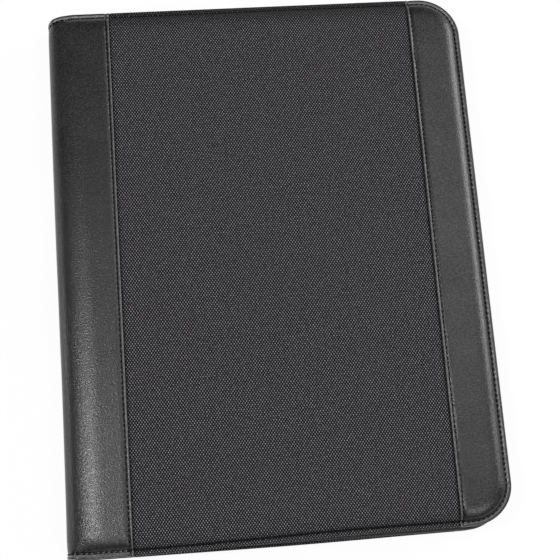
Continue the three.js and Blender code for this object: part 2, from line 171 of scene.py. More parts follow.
# How finely the skins are divided, with the band's lines and the fabric's by their distance from a seam
FLAT_MARGIN = 2 * MM
FLAT_STEPS = 60
WRAP_STEPS = 14
SPINE_FLAT_STEPS = 2
INNER_RINGS = (0.35, 0.7, 1)
BAND_STEPS = (*SEAM_STEPS, 7, 10, 13, 16)
FABRIC_STEPS = (0, 0.4, 0.8, 1.4)
FABRIC_MIDDLE_STEPS = 88
SHOULDER_STEPS = 10
INNER_SHOULDER_STEPS = 5
RIDGE_STEPS = 5
TURN_STEPS = 4
CORNER_STEPS = 18
SIDE_STEPS = 110
BEND_STEPS = 24
GUTTER_STEPS = 26

# How finely the lines that stitches follow are divided
RIM_LINE_STEPS = 12
SEAM_LINE_STEPS = 400
FOLD_LINE_STEPS = 60
GUTTER_LINE_STEPS = 120
SIDE_LINE_STEPS = 60
TURN_LINE_STEPS = 16
SLEEVE_LINE_STEPS = 80
WINDOW_LINE_STEPS = 40
LOOP_LINE_STEPS = 20

# How much painted shade darkens the fabric over the front's upper shoulder, which turns away from the light,
# and how far down that reaches
TOP_SHADE = 0.75
TOP_SHADE_REACH = 7 * MM

# Thread, with a stitch's thickness and lift at shares of its length
STITCH_PITCH = 3.0 * MM
STITCH_LENGTH = 2.35 * MM
THREAD = 0.7 * MM
STITCH_SIDES = 6
THREAD_FLATNESS = 0.8
STITCH_PROFILE = (
    (0, 0.45, -0.35), (0.14, 0.85, 0.05), (0.38, 1, 0.3),
    (0.62, 1, 0.3), (0.86, 0.85, 0.05), (1, 0.45, -0.35),
)
SEAM_STITCH_INSET = 2.1 * MM
SEAM_STITCH_END = 1.2 * MM

# Sheets sewn to the inside: grid lines near their edges, soft edges, hems and stitches
EDGE_STEPS = [step * MM for step in (0, 0.15, 0.4, 0.8, 1.4, 2.2, 3.2, 4.6, 6.4)]
GRID_STEP = 5 * MM
LINE_CLEARANCE = 2 * MM
EDGE_ROUND = 0.35 * MM
SHEET_LIFT = 0.02 * MM
HEM_WIDTH = 6 * MM
HEM_EDGE = 0.5 * MM
HEM_STITCH = 4.6 * MM
GUTTER_STITCH = 2 * MM
SHARPEST_TURN = 0.2 * MM
ROW_END = 1 * MM
HEM_STITCH_END = 3 * MM

# Sleeve that the pad's card goes down into
SLEEVE_THICKNESS = 0.8 * MM
SLEEVE_CORNER = 22.5 * MM
THUMB_NOTCH = 14 * MM
NOTCH_STEPS = 24
SLEEVE_STITCH = 2.4 * MM
SLEEVE_SPINE_STITCH = 0.7 * MM
SLEEVE_HEM = 0.1 * MM
SLEEVE_RISES = ((0.9 * MM, 2.1 * MM), (3 * MM, 6 * MM), (3 * MM, 6 * MM))

# Pockets on the front cover's inside
POCKET_THICKNESS = 0.7 * MM
POCKET_CORNER = 20 * MM
POCKET_EDGE_DROP = 40 * MM
POCKET_BELLY = 0.9 * MM
POCKET_STITCH = 1.6 * MM
POCKET_HEM = 0.25 * MM
POCKET_RISES = ((2.2 * MM, 7 * MM),) * 3
CARD_POCKET_CORNER = 4 * MM
CARD_POCKET_HEM = 0.12 * MM
WINDOW_BORDER = 9 * MM
WINDOW_INNER_STITCH = 1.8 * MM
WINDOW_ROUND = 0.2 * MM

# Pen loop of ribbed elastic
ELASTIC = 0.7 * MM
LOOP_ANGLE = math.radians(50)
LOOP_RIBS = 18
RIB_HEIGHT = 0.16 * MM
RIB_WIDTH_SHARE = 0.6
NECK_STEPS = 8
LOOP_STEPS = 36
LOOP_STITCH = 0.8 * MM

# Writing pad
PAGE_CUTS = 9
PAGE_SHIFT = 0.18 * MM
PAGE_WAVES = (2.4, 1.7)
TAPE_ROUND = 0.12 * MM
RULING = 8 * MM
RULING_HEAD = 16 * MM
SHEETS_PER_METRE = 7000
RULING_WIDTH = 0.25 * MM

# Points nearer than these are joined, or count as lying on a plane
JOINED = 0.005 * MM
ON_PLANE = 0.01 * MM

# Edges sharper than a crease angle aren't shaded smooth, and the others say what gets a bevel or is flat
SKIN_CREASE = math.radians(50)
SHEET_CREASE = math.radians(40)
SOFTENED_CREASE = math.radians(35)
LOOP_CREASE = math.radians(60)
PAGE_CREASE = math.radians(20)
BEVEL_ANGLE = math.radians(40)
FLAT_ANGLE = math.radians(2)

# Leather and weave: the height of their bump, the stitches' pull in it, the yarns, and tones used twice:
# black, the black of painted shade, and a lighter tone for worn ridges that is partly a painted highlight
LEATHER_RELIEF = 0.085 * MM
STITCH_PULL = 2.2
WEAVE_RELIEF = 0.22 * MM
WARP_PITCH = 0.8 * MM
WEFT_PITCH = 1.17 * MM
YARN_ROUNDNESS = 0.9
BLACK = (0.002, 0.002, 0.002)
PAINTED_SHADE_TONE = (0.003, 0.003, 0.003)
WORN_AND_HIGHLIGHT_TONE = (0.2, 0.197, 0.2)

# Where each fold starts and stops turning: on the outer face, then on the inner side
SPINE_IN = -HALF_WIDTH + SPINE_THICKNESS
SPINE_TOP = THICKNESS / 2 + SPINE_HALF_FLAT
SPINE_BOTTOM = THICKNESS / 2 - SPINE_HALF_FLAT
INNER_TOP = THICKNESS - COVER_THICKNESS
FRONT_BLEND = ("spine", "front_cover", (-HALF_WIDTH, 0, SPINE_TOP), (FOLD_X, 0, THICKNESS))
BACK_BLEND = ("back_cover", "spine", (FOLD_X, 0, 0), (-HALF_WIDTH, 0, SPINE_BOTTOM))
FRONT_INNER_BLEND = ("spine", "front_cover", (SPINE_IN, 0, SPINE_TOP), (FOLD_X, 0, INNER_TOP))
BACK_INNER_BLEND = ("back_cover", "spine", (FOLD_X, 0, COVER_THICKNESS), (SPINE_IN, 0, SPINE_BOTTOM))

# The camera's place, its own axes and its lens in millimetres, fitted to the photograph
CAMERA_PLACE = (-0.0534, -0.1900, 0.7454)
CAMERA_RIGHT = (0.995401, -0.074738, 0.059918)
CAMERA_UP = (0.057964, 0.967939, 0.244406)
CAMERA_BACK = (-0.076263, -0.239809, 0.96782)
CAMERA_LENS = 83.54

# Lamps: name, place, the point they aim at, width, height and power
LAMPS = (
    ("streak", (-0.5, -0.08, 1.05), (-0.1, 0, 0), 0.1, 0.25, 5.4),
    ("overhead_left", (-0.62, 0.1, 1.05), (-0.1, 0, 0), 0.15, 0.3, 0.6),
    ("front_left", (-0.24, -0.46, 1.05), (-0.1, 0, 0), 0.35, 0.4, 2.0),
    ("overhead_right", (0.36, 0.27, 1.05), (0.1, 0.1, 0), 0.6, 0.7, 2.5),
    ("right_window", (1.14, 0.46, 0.54), (0, 0, 0), 0.9, 0.45, 11.5),
    ("left_window", (-1.3, 0.15, 0.22), (0, 0, 0), 0.4, 0.3, 1.6),
    ("front_right", (0.42, -0.7, 0.98), (0.1, -0.15, 0), 0.4, 0.4, 3.6),
)

# The even light from all round, and the white floor's radius and drop under the folder
SURROUNDING_LIGHT = 0.08
FLOOR_RADIUS = 6
FLOOR_DROP = 0.2 * MM
FLOOR_WHITE = 0.93


# Camera, light and floor


def new_object(name, data):
    made = bpy.data.objects.new(name, data)
    bpy.context.scene.collection.objects.link(made)
    return made


def add_camera():
    """The photograph's view, down on the folder from beyond its bottom edge."""
    data = bpy.data.cameras.new("camera")
    data.sensor_width = 36
    data.lens = CAMERA_LENS
    data.clip_start = 0.05
    data.clip_end = 20
    camera = new_object("camera", data)
    turned = Matrix((CAMERA_RIGHT, CAMERA_UP, CAMERA_BACK)).transposed().to_4x4()
    camera.matrix_world = Matrix.Translation(CAMERA_PLACE) @ turned
    bpy.context.scene.camera = camera


def add_lamps():
    for name, place, aim, width, height, power in LAMPS:
        data = bpy.data.lights.new(name, "AREA")
        data.shape = "RECTANGLE"
        data.size = width
        data.size_y = height
        data.energy = power
        lamp = new_object(name, data)
        turned = (Vector(aim) - Vector(place)).to_track_quat("-Z", "Y").to_matrix().to_4x4()
        lamp.matrix_world = Matrix.Translation(place) @ turned


def add_surroundings():
    """Faint even light from all round, which the camera sees as white beyond the floor."""
    world = bpy.data.worlds.new("studio")
    world.use_nodes = True
    seen = outputs(new_node(world.node_tree, "LightPath"))["Is Camera Ray"]
    strength = seen * (1 - SURROUNDING_LIGHT) + SURROUNDING_LIGHT
    set_inputs(world.node_tree.nodes["Background"], Color=(1, 1, 1), Strength=strength)
    bpy.context.scene.world = world


def add_floor():
    bpy.ops.mesh.primitive_circle_add(
        vertices=96, radius=FLOOR_RADIUS, fill_type="NGON", location=(0, 0, -FLOOR_DROP)
    )
    floor = bpy.context.object
    floor.name = "floor"
    floor.data.materials.append(floor_material())


# Shader helpers


class Value:
    """A socket of a shader that can be counted with: each sum or product adds a node to its tree."""

    def __init__(self, socket):
        self.socket = socket
        self.tree = socket.id_data

    def __add__(self, other):
        return math_node("ADD", self, other)

    def __sub__(self, other):
        return math_node("SUBTRACT", self, other)

    def __rsub__(self, other):
        return math_node("SUBTRACT", other, self)

    def __mul__(self, other):
        return math_node("MULTIPLY", self, other)

    def __truediv__(self, other):
        return math_node("DIVIDE", self, other)

    def stretch(self, low, high, to_low=0, to_high=1):
        """The value carried over from one range to another."""
        made = new_node(self.tree, "MapRange", Value=self, From_Min=low, From_Max=high)
        set_inputs(made, To_Min=to_low, To_Max=to_high)
        return Value(made.outputs["Result"])

    def mix(self, first, second):
        """The first colour, with as much of the second as the value says."""
        return colour_node(self.tree, "MIX", self, first, second)

    def tinted(self, other):
        """The colour times another one."""
        return colour_node(self.tree, "MULTIPLY", 1, self, other)

    def noise(self, scale, detail=3, roughness=0.55):
        made = new_node(self.tree, "TexNoise", Vector=self, Scale=scale, Detail=detail, Roughness=roughness)
        return Value(made.outputs["Fac"])

    def bump(self, distance, strength):
        made = new_node(self.tree, "Bump", Height=self, Distance=distance, Strength=strength)
        return Value(made.outputs["Normal"])

    def split(self):
        return outputs(new_node(self.tree, "SeparateXYZ", Vector=self))

    def through(self, group, **values):
        """The outputs of a group that is given this place."""
        made = new_node(self.tree, "Group")
        made.node_tree = group
        set_inputs(made, Vector=self, **values)
        return outputs(made)


def outputs(made):
    return {socket.name: Value(socket) for socket in made.outputs}


def feed(value, socket):
    """Links a value to a socket, or sets the socket to a number or a colour."""
    if isinstance(value, Value):
        value.tree.links.new(value.socket, socket)
    elif isinstance(value, tuple):
        socket.default_value = (*value, 1)
    else:
        socket.default_value = value


def set_inputs(made, **values):
    """Feeds a node's inputs, which are named with _ for each space."""
    for label, value in values.items():
        feed(value, made.inputs[label.replace("_", " ")])


def new_node(tree, kind, **values):
    made = tree.nodes.new(f"ShaderNode{kind}")
    set_inputs(made, **values)
    return made


def math_node(operation, *values):
    tree = next(value.tree for value in values if isinstance(value, Value))
    made = new_node(tree, "Math")
    made.operation = operation
    for value, socket in zip(values, made.inputs):
        feed(value, socket)
    return Value(made.outputs[0])


def colour_node(tree, blend, factor, first, second):
    made = new_node(tree, "Mix")
    made.data_type = "RGBA"
    made.blend_type = blend
    for index, value in ((0, factor), (6, first), (7, second)):
        feed(value, made.inputs[index])
    return Value(made.outputs[2])


def new_material(name):
    """A material, with its shader and the object's own coordinates."""
    material = bpy.data.materials.new(name)
    material.use_nodes = True
    place = outputs(new_node(material.node_tree, "TexCoord"))["Object"]
    return material, material.node_tree.nodes["Principled BSDF"], place


def attribute(tree, name):
    made = new_node(tree, "Attribute")
    made.attribute_name = name
    return Value(made.outputs["Fac"])


def new_group(name, inputs, results):
    """A shader group that takes a Vector and some numbers, given with their defaults, and gives numbers."""
    tree = bpy.data.node_groups.new(name, "ShaderNodeTree")
    tree.interface.new_socket(name="Vector", in_out="INPUT", socket_type="NodeSocketVector")
    for label, default in inputs.items():
        socket = tree.interface.new_socket(name=label, in_out="INPUT", socket_type="NodeSocketFloat")
        socket.default_value = default
    for label in results:
        tree.interface.new_socket(name=label, in_out="OUTPUT", socket_type="NodeSocketFloat")
    given = outputs(tree.nodes.new("NodeGroupInput"))
    return tree, given, tree.nodes.new("NodeGroupOutput")


# Shared surface effects


def grain_group():
    """Leather grain: small pebbles with creases between them, mottled, with slow changes of tone."""
    tree, given, made = new_group("leather_grain", {"Pebbles per metre": 900}, ("Height", "Tone"))
    place = given["Vector"]
    pebbles = new_node(tree, "TexVoronoi")
    pebbles.feature = "SMOOTH_F1"
    set_inputs(pebbles, Vector=place, Scale=given["Pebbles per metre"], Smoothness=0.35)
    mottle = place.noise(950, 3, 0.65)
    slow = place.noise(38, 4, 0.6)
    height = outputs(pebbles)["Distance"] * -0.9 + place.noise(1900, 2) * 0.6 + mottle * 1.1 + slow * 0.8
    tone = slow.stretch(0.3, 0.7, 0, 0.3) + mottle.stretch(0.42, 0.66, 0, 0.8)
    set_inputs(made, Height=height, Tone=tone)
    return tree


def weave_group():
    """Plain weave. Warp yarns run up the page and weft yarns across it, each over and under in turn."""
    pitches = {"Warp pitch": WARP_PITCH, "Weft pitch": WEFT_PITCH}
    tree, given, made = new_group("plain_weave", pitches, ("Height", "Warp on top"))
    place = given["Vector"].split()
    across = place["X"] / given["Warp pitch"]
    along = place["Y"] / given["Weft pitch"]
    warp_index = math_node("FLOOR", across)
    weft_index = math_node("FLOOR", along)

    def wave(turns):
        return math_node("COSINE", turns * math.pi)

    warp_height = wave(along - 0.5 + warp_index) + wave(across - warp_index - 0.5) * YARN_ROUNDNESS
    weft_height = wave(across - 0.5 + weft_index) * -1 + wave(along - weft_index - 0.5) * YARN_ROUNDNESS
    height = math_node("MAXIMUM", warp_height, weft_height)
    set_inputs(made, Height=height, Warp_on_top=(warp_height - weft_height).stretch(-0.25, 0.25))
    return tree


GRAIN = grain_group()
WEAVE = weave_group()


# Materials


def floor_material():
    """White paper sweep: nearly full white to the camera and in reflections, with the shadow kept."""
    material, shader, _ = new_material("floor_white")
    set_inputs(shader, Base_Color=(FLOOR_WHITE,) * 3, Roughness=0.9, Specular_IOR_Level=0.0)
    tree = material.node_tree
    path = outputs(new_node(tree, "LightPath"))
    seen = math_node("MAXIMUM", path["Is Camera Ray"], path["Is Glossy Ray"])
    seen = math_node("MAXIMUM", seen, path["Is Transmission Ray"])
    mix = new_node(tree, "MixShader", Fac=seen * FLOOR_WHITE)
    white = new_node(tree, "Emission", Strength=1)
    tree.links.new(shader.outputs["BSDF"], mix.inputs[1])
    tree.links.new(white.outputs["Emission"], mix.inputs[2])
    tree.links.new(mix.outputs["Shader"], tree.nodes["Material Output"].inputs["Surface"])
    return material


def leather_material(name, dark, light, roughness, pebbles):
    """Coated leather-look: fine grain and uneven tone. Ridges are painted lighter where an attribute says so,
    partly as worn edges and partly as a painted highlight, and painted shade darkens the hollows.
    """
    material, shader, place = new_material(name)
    grain = place.through(GRAIN, Pebbles_per_metre=pebbles)
    wear_and_highlight, painted_shade, rim, along = (attribute(place.tree, label) for label in ("wear_and_highlight", "painted_shade", "rim", "along"))
    patchy = place.noise(420, 2).stretch(0.35, 0.65, 0.5, 1)
    # Ridges and crests lighter: partly worn leather, partly a painted highlight.
    worn_and_lit = (wear_and_highlight * patchy).mix(grain["Tone"].mix(dark, light), WORN_AND_HIGHLIGHT_TONE)
    pull = math_node("COSINE", along * (2 * math.pi / STITCH_PITCH)) * rim
    set_inputs(
        shader,
        # Painted shade: the hollows are mixed towards black.
        Base_Color=painted_shade.mix(worn_and_lit, PAINTED_SHADE_TONE),
        Roughness=grain["Tone"].stretch(0, 1, roughness + 0.04, roughness - 0.07),
        Specular_IOR_Level=0.5,
        Normal=(grain["Height"] + pull * STITCH_PULL).bump(LEATHER_RELIEF, 0.9),
    )
    return material


def fabric_material():
    """Coarse plain weave of black yarns, with a painted sheen on the warp's floats and painted shade in the
    pits between the yarns, along the seams and over the upper shoulder.
    """
    material, shader, place = new_material("woven_fabric")
    uv_map = new_node(place.tree, "UVMap")
    uv_map.uv_map = "cloth"
    place = outputs(uv_map)["UV"]
    weave = place.through(WEAVE)
    # Painted sheen: the warp's floats are painted lighter than the weft, though both yarns are black.
    yarn_with_painted_sheen = weave["Warp on top"].mix((0.006, 0.006, 0.007), (0.205, 0.197, 0.21))
    uneven = place.noise(900, 2).stretch(0.35, 0.65).mix((0.5, 0.5, 0.5), (1.35, 1.35, 1.35))
    # Painted shade in the pits between the yarns.
    pit_shade = weave["Height"].stretch(0.7, 1.75)
    weave_with_painted_light = pit_shade.mix(BLACK, yarn_with_painted_sheen.tinted(uneven))
    set_inputs(
        shader,
        # Painted shade along the seams and over the upper shoulder.
        Base_Color=(attribute(place.tree, "painted_shade") * 0.7).mix(weave_with_painted_light, BLACK),
        Roughness=0.7,
        Specular_IOR_Level=0.1,
        Normal=weave["Height"].bump(WEAVE_RELIEF, 1.0),
    )
    return material


def thread_material(name, dark, light):
    """Sewing thread, with its twist."""
    material, shader, place = new_material(name)
    twist = place.noise(2600, 1)
    set_inputs(shader, Base_Color=twist.mix(dark, light), Roughness=0.85, Specular_IOR_Level=0.15)
    set_inputs(shader, Normal=twist.bump(0.05 * MM, 0.6))
    return material


def cloth_material(name, pitches, yarns, blotch, roughness, sheen, relief, strength):
    """Fine black cloth. blotch holds a tone, its noise's scale and detail, and where it starts and ends."""
    material, shader, place = new_material(name)
    weave = place.through(WEAVE, Warp_pitch=pitches[0], Weft_pitch=pitches[1])
    tone, scale, detail, low, high = blotch
    colour = place.noise(scale, detail).stretch(low, high).mix(weave["Warp on top"].mix(*yarns), tone)
    set_inputs(shader, Base_Color=colour, Roughness=roughness, Sheen_Weight=sheen)
    set_inputs(shader, Normal=weave["Height"].bump(relief, strength))
    return material


def lining_material():
    """Lining cloth with a dull sheen."""
    yarns = ((0.008, 0.008, 0.009), (0.022, 0.022, 0.024))
    blotch = ((0.016, 0.016, 0.017), 60, 3, 0.3, 0.7)
    return cloth_material("lining_cloth", (0.34 * MM, 0.3 * MM), yarns, blotch, 0.6, 0.25, 0.05 * MM, 0.8)


def elastic_material():
    """Knitted elastic, with short cross threads between its ribs."""
    yarns = ((0.006, 0.006, 0.007), (0.03, 0.03, 0.032))
    blotch = ((0.018, 0.018, 0.019), 1500, 2, 0, 1)
    return cloth_material("elastic", (0.5 * MM, 0.8 * MM), yarns, blotch, 0.85, 0.3, 0.12 * MM, 0.9)


def tape_material():
    """Cloth tape over the pad's top edge, worn lighter in places."""
    yarns = ((0.01, 0.01, 0.011), (0.026, 0.026, 0.028))
    blotch = ((0.04, 0.04, 0.042), 90, 4, 0.45, 0.75)
    return cloth_material("binding_tape", (0.4 * MM, 0.4 * MM), yarns, blotch, 0.62, 0.0, 0.08 * MM, 0.9)


def board_material(name, dark, light):
    """Pressed grey-brown board, flecked with fibres."""
    material, shader, place = new_material(name)
    flecks = place.noise(1400, 3, 0.7).stretch(0.3, 0.7)
    middle = tuple((a + b) / 2 for a, b in zip(dark, light))
    colour = place.noise(45, 3).stretch(0.3, 0.7, 0, 0.6).mix(flecks.mix(dark, light), middle)
    set_inputs(shader, Base_Color=colour, Roughness=0.9, Normal=flecks.bump(0.06 * MM, 0.8))
    return material


def film_material():
    """Clear soft film, slightly wavy."""
    material, shader, place = new_material("clear_film")
    waves = place.noise(55, 2)
    tint = waves.mix((0.86, 0.88, 0.9), (0.95, 0.96, 0.97))
    scuffs = place.noise(700, 3, 0.7).stretch(0.55, 0.8, 0.06, 0.3)
    set_inputs(shader, Base_Color=tint, Roughness=scuffs, Transmission_Weight=1, IOR=1.46)
    set_inputs(shader, Normal=waves.bump(1.2 * MM, 0.6))
    return material


def paper_material(ruled_from, ruled_to):
    """White writing paper with grey-blue ruling on top, and the edges of the pages round the sides."""
    material, shader, place = new_material("ruled_paper")
    split = place.split()
    facing = outputs(new_node(place.tree, "NewGeometry"))["Normal"].split()
    on_top = math_node("GREATER_THAN", facing["Z"], 0.9)
    on_side = 1 - on_top
    below = ruled_from - split["Y"]
    to_line = math_node("ABSOLUTE", math_node("MODULO", below, RULING) - RULING / 2)
    ruled = math_node("LESS_THAN", to_line, RULING_WIDTH / 2) * on_top
    ruled = ruled * math_node("GREATER_THAN", below, 0) * math_node("GREATER_THAN", split["Y"], ruled_to)
    clouds = place.noise(900, 3, 0.7).stretch(0.3, 0.7)
    white = clouds.mix((0.80, 0.79, 0.75), (0.85, 0.845, 0.81))
    inked = (ruled * 0.75).mix(white, (0.35, 0.42, 0.55))
    stack = math_node("SINE", split["Z"] * (2 * math.pi * SHEETS_PER_METRE) + place.noise(160, 2) * 9)
    colour = (stack.stretch(-1, 1, 0, 0.35) * on_side).mix(inked, (0.5, 0.48, 0.44))
    set_inputs(shader, Base_Color=colour, Roughness=0.85, Specular_IOR_Level=0.3)
    set_inputs(shader, Normal=(stack * on_side + clouds * 0.15).bump(0.05 * MM, 0.7))
    return material


LEATHER_FINISH = leather_material("leather", BLACK, (0.041, 0.04, 0.041), 0.3, 1300)
INNER_FINISH = leather_material("inner_leather", (0.017, 0.0167, 0.017), (0.044, 0.043, 0.044), 0.38, 1500)
FABRIC_FINISH = fabric_material()
THREAD_FINISH = thread_material("thread", BLACK, (0.008, 0.008, 0.009))
INNER_THREAD_FINISH = thread_material("inner_thread", (0.05, 0.05, 0.052), (0.13, 0.13, 0.135))
LINING_FINISH = lining_material()
ELASTIC_FINISH = elastic_material()
TAPE_FINISH = tape_material()
BOARD_FINISH = board_material("grey_board", (0.2, 0.17, 0.13), (0.34, 0.29, 0.23))
CARD_FINISH = board_material("pad_card", (0.25, 0.22, 0.17), (0.4, 0.36, 0.29))
FILM_FINISH = film_material()


# The folded skin


def clamped(share):
    return min(max(share, 0), 1)


def deeper(under, amount):
    return tuple(depth + amount for depth in under)


def level_between(first, last, share):
    return tuple(a + (b - a) * share for a, b in zip(first, last))


def depth_at(under, run):
    """The depth of a level at a run: the spine's up to the hinge, and the cover's from the fold on."""
    share = clamped((abs(run) - HINGE_RUN) / (FOLD_RUN - HINGE_RUN))
    return under[1] + (under[0] - under[1]) * share


def spine_bow(length, y):
    """How far the spine lies further in at a height, by the distance along the skin from its middle."""
    place = clamped(abs(y - BOW_MIDDLE) / BOW_REACH)
    return SPINE_BOW * math.cos(math.pi / 2 * place) ** 2 * (1 - smooth_share(length, 0, FOLD_RUN))


def fold_point(run, y, depth):
    """The place of a point of the skin: its run along the outer face and its depth under that face."""
    side = -1 if run < 0 else 1
    length = abs(run)
    if length <= SPINE_HALF_FLAT:
        return Vector((-HALF_WIDTH + depth + spine_bow(length, y), y, THICKNESS / 2 + run))
    if length <= FOLD_RUN:
        angle = (length - SPINE_HALF_FLAT) / SPINE_RADIUS
        radius = SPINE_RADIUS - depth
        across = FOLD_X - radius * math.cos(angle) + spine_bow(length, y)
        up = SPINE_HALF_FLAT + radius * math.sin(angle)
        return Vector((across, y, THICKNESS / 2 + side * up))
    return Vector((FOLD_X + length - FOLD_RUN, y, THICKNESS / 2 + side * (THICKNESS / 2 - depth)))


def outward(run):
    """The direction that the outer face looks in at a run."""
    return (fold_point(run, 0, 0) - fold_point(run, 0, LEATHER)).normalized()


def smooth_share(value, start, end):
    share = clamped((value - start) / (end - start))
    return share * share * (3 - 2 * share)


def end_pull(run, inset, end):
    """How far the skin's ends are drawn in: round the spine, and at the bottom towards the free side."""
    pull = TOP_PULL if end > 0 else BOTTOM_PULL
    pull *= smooth_share(abs(run), PULL_START_RUN, PULL_FULL_RUN)
    if run > 0 > end:
        pull += FREE_PULL * smooth_share(run, SPINE_SEAM_RUN, FREE_PULL_FULL_RUN)
    elif end < 0:
        pull += BACK_PULL * smooth_share(-run, BACK_PULL_START_RUN, BACK_PULL_FULL_RUN)
    return pull * max(0, 1 - inset / PULL_REACH)


def drawn_in(run, y, depth):
    """The place of a point of the skin, with the end that it is near drawn in."""
    end = math.copysign(1, y)
    return fold_point(run, y - end * end_pull(run, HALF_HEIGHT - abs(y), end), depth)


def run_at(x):
    return FOLD_RUN + x - FOLD_X


def spaced(start, end, count):
    return [start + (end - start) * step / count for step in range(count + 1)]


def shoulder(start, end, top, bottom, count):
    """The padding's round shoulder, from its foot by the stitches up to the flat, as (inset, level)."""
    stations = []
    for angle in spaced(0, math.pi / 2, count):
        inset = start + (end - start) * (1 - math.cos(angle))
        stations.append((inset, level_between(top, bottom, 1 - math.sin(angle))))
    return stations


def rim_stations():
    """From the stitches out over the ridge, round the turned edge and onto the lip inside."""
    stations = [(STITCH_INSET + TROUGH_WIDTH, STITCH_LEVEL), (STITCH_INSET, STITCH_LEVEL)]
    for share in spaced(0, 1, RIDGE_STEPS):
        inset = RIDGE_END + (RIDGE_START - RIDGE_END) * share
        stations.append((inset, level_between(STITCH_LEVEL, RIM_TOP, smooth_share(share, 0, 1))))
    for angle in spaced(0, math.pi / 2, TURN_STEPS):
        drop = RIM_CORNER * (1 - math.cos(angle))
        stations.append((RIM_CORNER * (1 - math.sin(angle)), deeper(RIM_TOP, drop)))
    for angle in spaced(0, math.pi / 2, TURN_STEPS):
        rise = -RIM_CORNER * (1 - math.sin(angle))
        stations.append((RIM_CORNER * (1 - math.cos(angle)), deeper(LINING_FACE, rise)))
    stations.append((TURNED_LIP, LINING_FACE))
    return stations


def outer_stations(face):
    """A cover's outer side from the flat over the shoulder and the rim to the turned lip."""
    return shoulder(SHOULDER_START, SHOULDER_END, face, STITCH_LEVEL, SHOULDER_STEPS)[::-1] + rim_stations()


def inner_stations():
    """The skin's hidden inner side, from the turned lip back under the shoulder."""
    start = SHOULDER_START + LEATHER
    under = shoulder(start, SHOULDER_END, LEATHER_INSIDE, PADDING_LEVEL, INNER_SHOULDER_STEPS)
    return [(TURNED_LIP, LINING_LEVEL), (LEATHER, LINING_LEVEL), (LEATHER, PADDING_LEVEL), *under]


def seam_relief(distance):
    """How far the folded edge of the leather lies under its face, by the distance from the seam."""
    place = distance / MM
    for (near, low), (far, high) in zip(SEAM_PROFILE, SEAM_PROFILE[1:]):
        if place <= far:
            return (low + (high - low) * (place - near) / (far - near)) * MM
    return 0.0


def on_flat(inset):
    """How far up the shoulder an inset lies, from 0 at its foot to 1 at its top and beyond."""
    share = clamped((inset - SHOULDER_START) / (SHOULDER_END - SHOULDER_START))
    return math.sin(math.acos(1 - share))


def bulge(run, y, inset, plump):
    """How far the padded skin stands out of its frame, easing off over the fold."""
    past = abs(run) - FOLD_RUN
    if past >= PLUMP_REACH:
        rise = 1
    elif past >= 0:
        rise = (past / PLUMP_REACH) * (2 - past / PLUMP_REACH)
    else:
        rise = (2 * past / PLUMP_REACH) * max(0, 1 + past / EASE_REACH) ** 2
    swell = SWELL * noise.noise(Vector((run / SWELL_SIZE, y / SWELL_SIZE, SWELL_SLICE)))
    return (plump * rise + swell) * on_flat(inset)


def nearness(place, middle, width):
    return math.exp(-(((place - middle) / width) ** 2))


class Skin:
    """Points of a skin with their cloth coordinates and the values that its material reads."""

    def __init__(self):
        self.points = []
        self.uvs = []
        self.values = {"wear_and_highlight": [], "rim": [], "painted_shade": [], "along": []}

    def add(self, point, uv, inset, along, outside, from_seam):
        """from_seam is how far the point is into the leather, or into the fabric where it is negative."""
        # The ridge and the seam's folded crest are painted lighter: partly worn edges, partly a painted
        # highlight.
        ridge = nearness(inset, (RIDGE_START + RIDGE_END) / 2, RIDGE_WIDTH)
        crest = nearness(from_seam, SEAM_CREST, CREST_WIDTH)
        # Painted shade at the foot of the shoulder and in the stitched groove.
        painted_shade = nearness(inset, VALLEY_SHADE_INSET, VALLEY_SHADE_WIDTH)
        groove = nearness(from_seam, SEAM_STITCH_INSET, GROOVE_SHADE_WIDTH)
        # Painted shade where the fabric tucks under the leather's edge.
        shade = nearness(from_seam, 0, TUCK_SHADE_WIDTH) if from_seam <= 0 else 0
        # Painted shade over the fabric's upper shoulder, which turns away from the light.
        if from_seam <= 0 and point.y > 0:
            shade = max(shade, TOP_SHADE * nearness(inset, SHOULDER_START, TOP_SHADE_REACH))
        rim = nearness(inset, STITCH_INSET, RIM_PULL_WIDTH)
        self.points.append(point)
        self.uvs.append(uv)
        self.values["wear_and_highlight"].append(max(ridge, CREST_WEAR_AND_HIGHLIGHT * crest) * outside)
        self.values["rim"].append(rim * outside)
        self.values["painted_shade"].append(max(painted_shade, groove, shade) * outside)
        self.values["along"].append(along)

    def build(self, name, faces, material):
        made = mesh_object(name, self.points, faces, material, self.uvs, SKIN_CREASE)
        for label, values in self.values.items():
            layer = made.data.attributes.new(label, "FLOAT", "POINT")
            layer.data.foreach_set("value", values)
        return made


def mesh_object(name, points, faces, material, uvs=None, crease=None):
    mesh = bpy.data.meshes.new(name)
    mesh.from_pydata([tuple(point) for point in points], [], faces)
    mesh.materials.append(material)
    if uvs is not None:
        layer = mesh.uv_layers.new(name="cloth")
        for loop in mesh.loops:
            layer.data[loop.index].uv = uvs[loop.vertex_index]
    made = new_object(name, mesh)
    work = bmesh.new()
    work.from_mesh(mesh)
    bmesh.ops.recalc_face_normals(work, faces=work.faces)
    for face in work.faces:
        face.smooth = True
    work.to_mesh(mesh)
    work.free()
    if crease is not None:
        smooth_up_to(made, crease)
    return made


def select_only(made):
    bpy.ops.object.select_all(action="DESELECT")
    bpy.context.view_layer.objects.active = made
    made.select_set(True)


def smooth_up_to(made, crease):
    """Shades a piece smooth, apart from edges that are sharper than the crease angle."""
    select_only(made)
    bpy.ops.object.shade_smooth_by_angle(angle=crease)
    made.select_set(False)


def declare(made, body, slot, *nodes):
    """Attaches a piece to the body that it moves with, or only bakes its place in when body is a fold, and
    hides the nodes that it stands in for. slot is not used.
    """
    if isinstance(body, tuple):
        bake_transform(made)
    else:
        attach(made, body)
    if nodes:
        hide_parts(*nodes)


